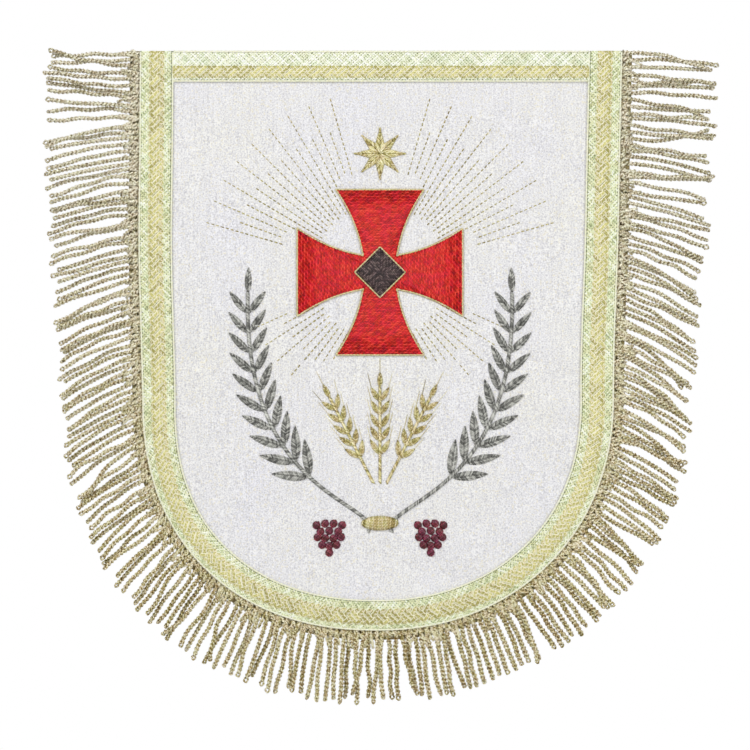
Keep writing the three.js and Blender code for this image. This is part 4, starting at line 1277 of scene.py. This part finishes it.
# Wheat: three ears in pale gilt thread, each grain worked like a small plump leaf, with long
# beards of single stitches.
WHEAT = {"z": -324, "apart": 5, "spread": 27, "stalk": 22, "ear": 50}
EAR = {"width": 2, "pairs": 5, "length": 12.5, "widest": 4.5, "shrink": 0.1, "turn": 31}
EAR["from"] = WHEAT["stalk"] / (WHEAT["stalk"] + WHEAT["ear"])
GRAIN = {"step": 1.0, "slant": 1.5, "width": 1.1, "pad": 1.1}
GRAIN_LEVELS = (CLOTH_THICKNESS / 2 + 1.25, CLOTH_THICKNESS / 2 + 0.45)
BEARD = {"length": 12, "width": 0.5, "face": CLOTH_THICKNESS / 2 + 0.1}
for fan, name in ((-1, "left"), (0, "middle"), (1, "right")):
    turn = np.radians(90 - fan * WHEAT["spread"])
    along = np.linspace(0, WHEAT["stalk"] + WHEAT["ear"], 145)[:, None]
    points = np.array([EMBLEM_X + fan * WHEAT["apart"], WHEAT["z"]]) + along * direction(turn)
    grains = spray_leaves(points, np.full(len(points), turn), EAR)
    pads = leaf_pads(f"wheat_{name}_pads", *grains, GRAIN["pad"])
    finish_piece(pads, gilt_floss, "gold_thread", f"wheat_{name}")
    feet, turns, lengths, _ = grains
    tips = feet + direction(turns) * (lengths * 0.9)[:, None]
    beards = tips + direction(turn + (turns - turn) * 0.45) * BEARD["length"]
    grain_rows = leaf_stitches(*grains, GRAIN["step"], GRAIN["slant"])
    rows = [grain_rows, stem_stitches(points, EAR["width"]), (tips, beards)]
    flat_levels = [(face, face) for face in (STEM_STITCH["face"], BEARD["face"])]
    ground = for_rows(rows, [GRAIN_LEVELS, *flat_levels])
    width = for_rows(rows, [GRAIN["width"], GRAIN["width"], BEARD["width"]])
    ear = stitches(f"wheat_{name}_floss", *join_rows(rows), ground, width)
    finish_piece(ear, gilt_floss, "gold_thread", f"wheat_{name}")


# Tie: gilt stitches wrapped side by side over the feet of both branches.
TIE = {"z": -354, "half_width": 14, "half_height": 5.5, "face": CLOTH_THICKNESS / 2 + 1.7, "slant": 0.5}
tie_middle = np.array([EMBLEM_X, TIE["z"]])
tie_angles = np.linspace(0, 2 * np.pi, 33)[:-1]
tie_outline = direction(tie_angles) * [TIE["half_width"], TIE["half_height"]] + tie_middle
tie_pad = flat_patch("tie_pad", tie_outline, PAD_FOOT, TIE["face"])
finish_piece(tie_pad, gilt_floss, "gold_thread", "tie")
tie_x = np.arange(-TIE["half_width"] + 0.8, TIE["half_width"] - 0.3, 1.0)
tie_reach = TIE["half_height"] * np.sqrt(1 - (tie_x / TIE["half_width"]) ** 2)
tie_half = np.stack([np.full_like(tie_x, TIE["slant"]), tie_reach], axis=-1)
tie_line = tie_middle + tie_x[:, None] * [1, 0]
tie = stitches("tie_floss", tie_line - tie_half, tie_line + tie_half, TIE["face"] - 0.25, 1.15, 0.6)
finish_piece(tie, gilt_floss, "gold_thread", "tie")


# Grapes: two bunches in wine-red floss, each berry a small dome of stitches laid across it.
GRAPES = {"out": 38, "z": -359, "berry": 3.1, "slant": 35, "pad": 1.5}
BERRIES = [
    (-9.6, 3.4), (-3.2, 4.6), (3.2, 4.6), (9.6, 3.4), (-6.6, -1.4), (0, -0.8), (6.6, -1.4), (-8.8, -5.6),
    (-3.1, -6.4), (3.1, -6.4), (8.8, -5.6), (-5.4, -11.4), (0, -12.0), (5.4, -11.4), (0, -17.2),
]


def berry_stitches(centres, radius, slant):
    """Stitches laid side by side across each round berry, and how long each is beside the longest."""
    offset = np.arange(-radius + 0.5, radius, 0.9)
    half = np.sqrt(radius**2 - offset**2)
    ahead = direction(slant)
    middle = (centres[:, None] + offset[None, :, None] * quarter_turned(ahead)).reshape(-1, 2)
    reach = np.tile(half, len(centres))[:, None] * ahead
    return middle - reach, middle + reach, np.tile(half / radius, len(centres))


def berry_domes(name, centres, radius, face, height):
    """Closed low domes: rings of a half circle, z = sqrt(1 - s^2), over a flat foot."""
    share, angle = np.array([1.0, 0.92, 0.7, 0.38]), 2 * np.pi * np.arange(12) / 12
    flat = centres[:, None, None] + radius * share[:, None, None] * direction(angle)
    return low_pads(name, flat, face + height * np.sqrt(1 - share**2)[:, None])


wine_floss = thread_material("wine red rayon floss", ("#33040f", "#6f1428", "#c05070"), 0.0, 0.36)
for side, name in ((-1, "left"), (1, "right")):
    centres = np.array(BERRIES) * [side, 1] + [EMBLEM_X + side * GRAPES["out"], GRAPES["z"]]
    domes = berry_domes(
        f"grapes_{name}_domes", centres, GRAPES["berry"], CLOTH_THICKNESS / 2 - 0.1, GRAPES["pad"]
    )
    finish_piece(domes, wine_floss, "wine_thread", f"grapes_{name}")
    start, end, high = berry_stitches(centres, GRAPES["berry"] * 0.97, side * np.radians(GRAPES["slant"]))
    rise = 0.25 + 1.2 * high**1.5
    berries = stitches(f"grapes_{name}_floss", start, end, CLOTH_THICKNESS / 2 + 0.35, 1.05, rise)
    finish_piece(berries, wine_floss, "wine_thread", f"grapes_{name}")


# Rays: single running stitches in gilt thread, in four bundles between the arms of the cross.
RAYS = {
    "from": 50, "beside_arms": 76, "above": 134, "below": 100, "stitch": 2.5, "gap": 1.3,
    "beside_degrees": 20, "shorter": 0.82, "shift": 2.5,
}
WHEAT_ROOM = {"below": -232, "half_width": 58}
RAY_FANS = {"above": {"count": 17, "spread": 58}, "below": {"count": 11, "spread": 42}}


def ray_stitches():
    """Broken straight lines out from the middle of the cross: every other ray is shorter. Stitches
    that would lie over the wheat are left out."""
    rows = []
    for quarter in range(4):
        level = "above" if quarter < 2 else "below"
        fan = RAY_FANS[level]
        for ray in range(fan["count"]):
            aside = (ray / (fan["count"] - 1) - 0.5) * fan["spread"]
            first = RAYS["beside_arms"] if abs(aside) > RAYS["beside_degrees"] else RAYS["from"]
            stop = RAYS[level] * (RAYS["shorter"] if ray % 2 else 1.0)
            begin = np.arange(first + RAYS["shift"] * (ray % 2), stop, RAYS["stitch"] + RAYS["gap"])
            ahead = direction(np.radians(45 + 90 * quarter + aside))
            out_x, out_z = begin * ahead[0], CROSS["z"] + begin * ahead[1]
            begin = begin[(out_z > WHEAT_ROOM["below"]) | (np.abs(out_x) > WHEAT_ROOM["half_width"])]
            begin = begin[:, None]
            rows.append((CROSS_MIDDLE + begin * ahead, CROSS_MIDDLE + (begin + RAYS["stitch"]) * ahead))
    return join_rows(rows)


rays = stitches("rays", *ray_stitches(), CLOTH_THICKNESS / 2, 1.0, 0.5, 0.2, 0.6, tuck=0.2)
# Old gold thread: darker than the rest, so single stitches still show on the pale linen.
old_gold = thread_material("old gold thread", ("#655826", "#aa9c58", "#e0d49a"), 0.2, 0.36)
finish_piece(rays, old_gold, "gold_thread")
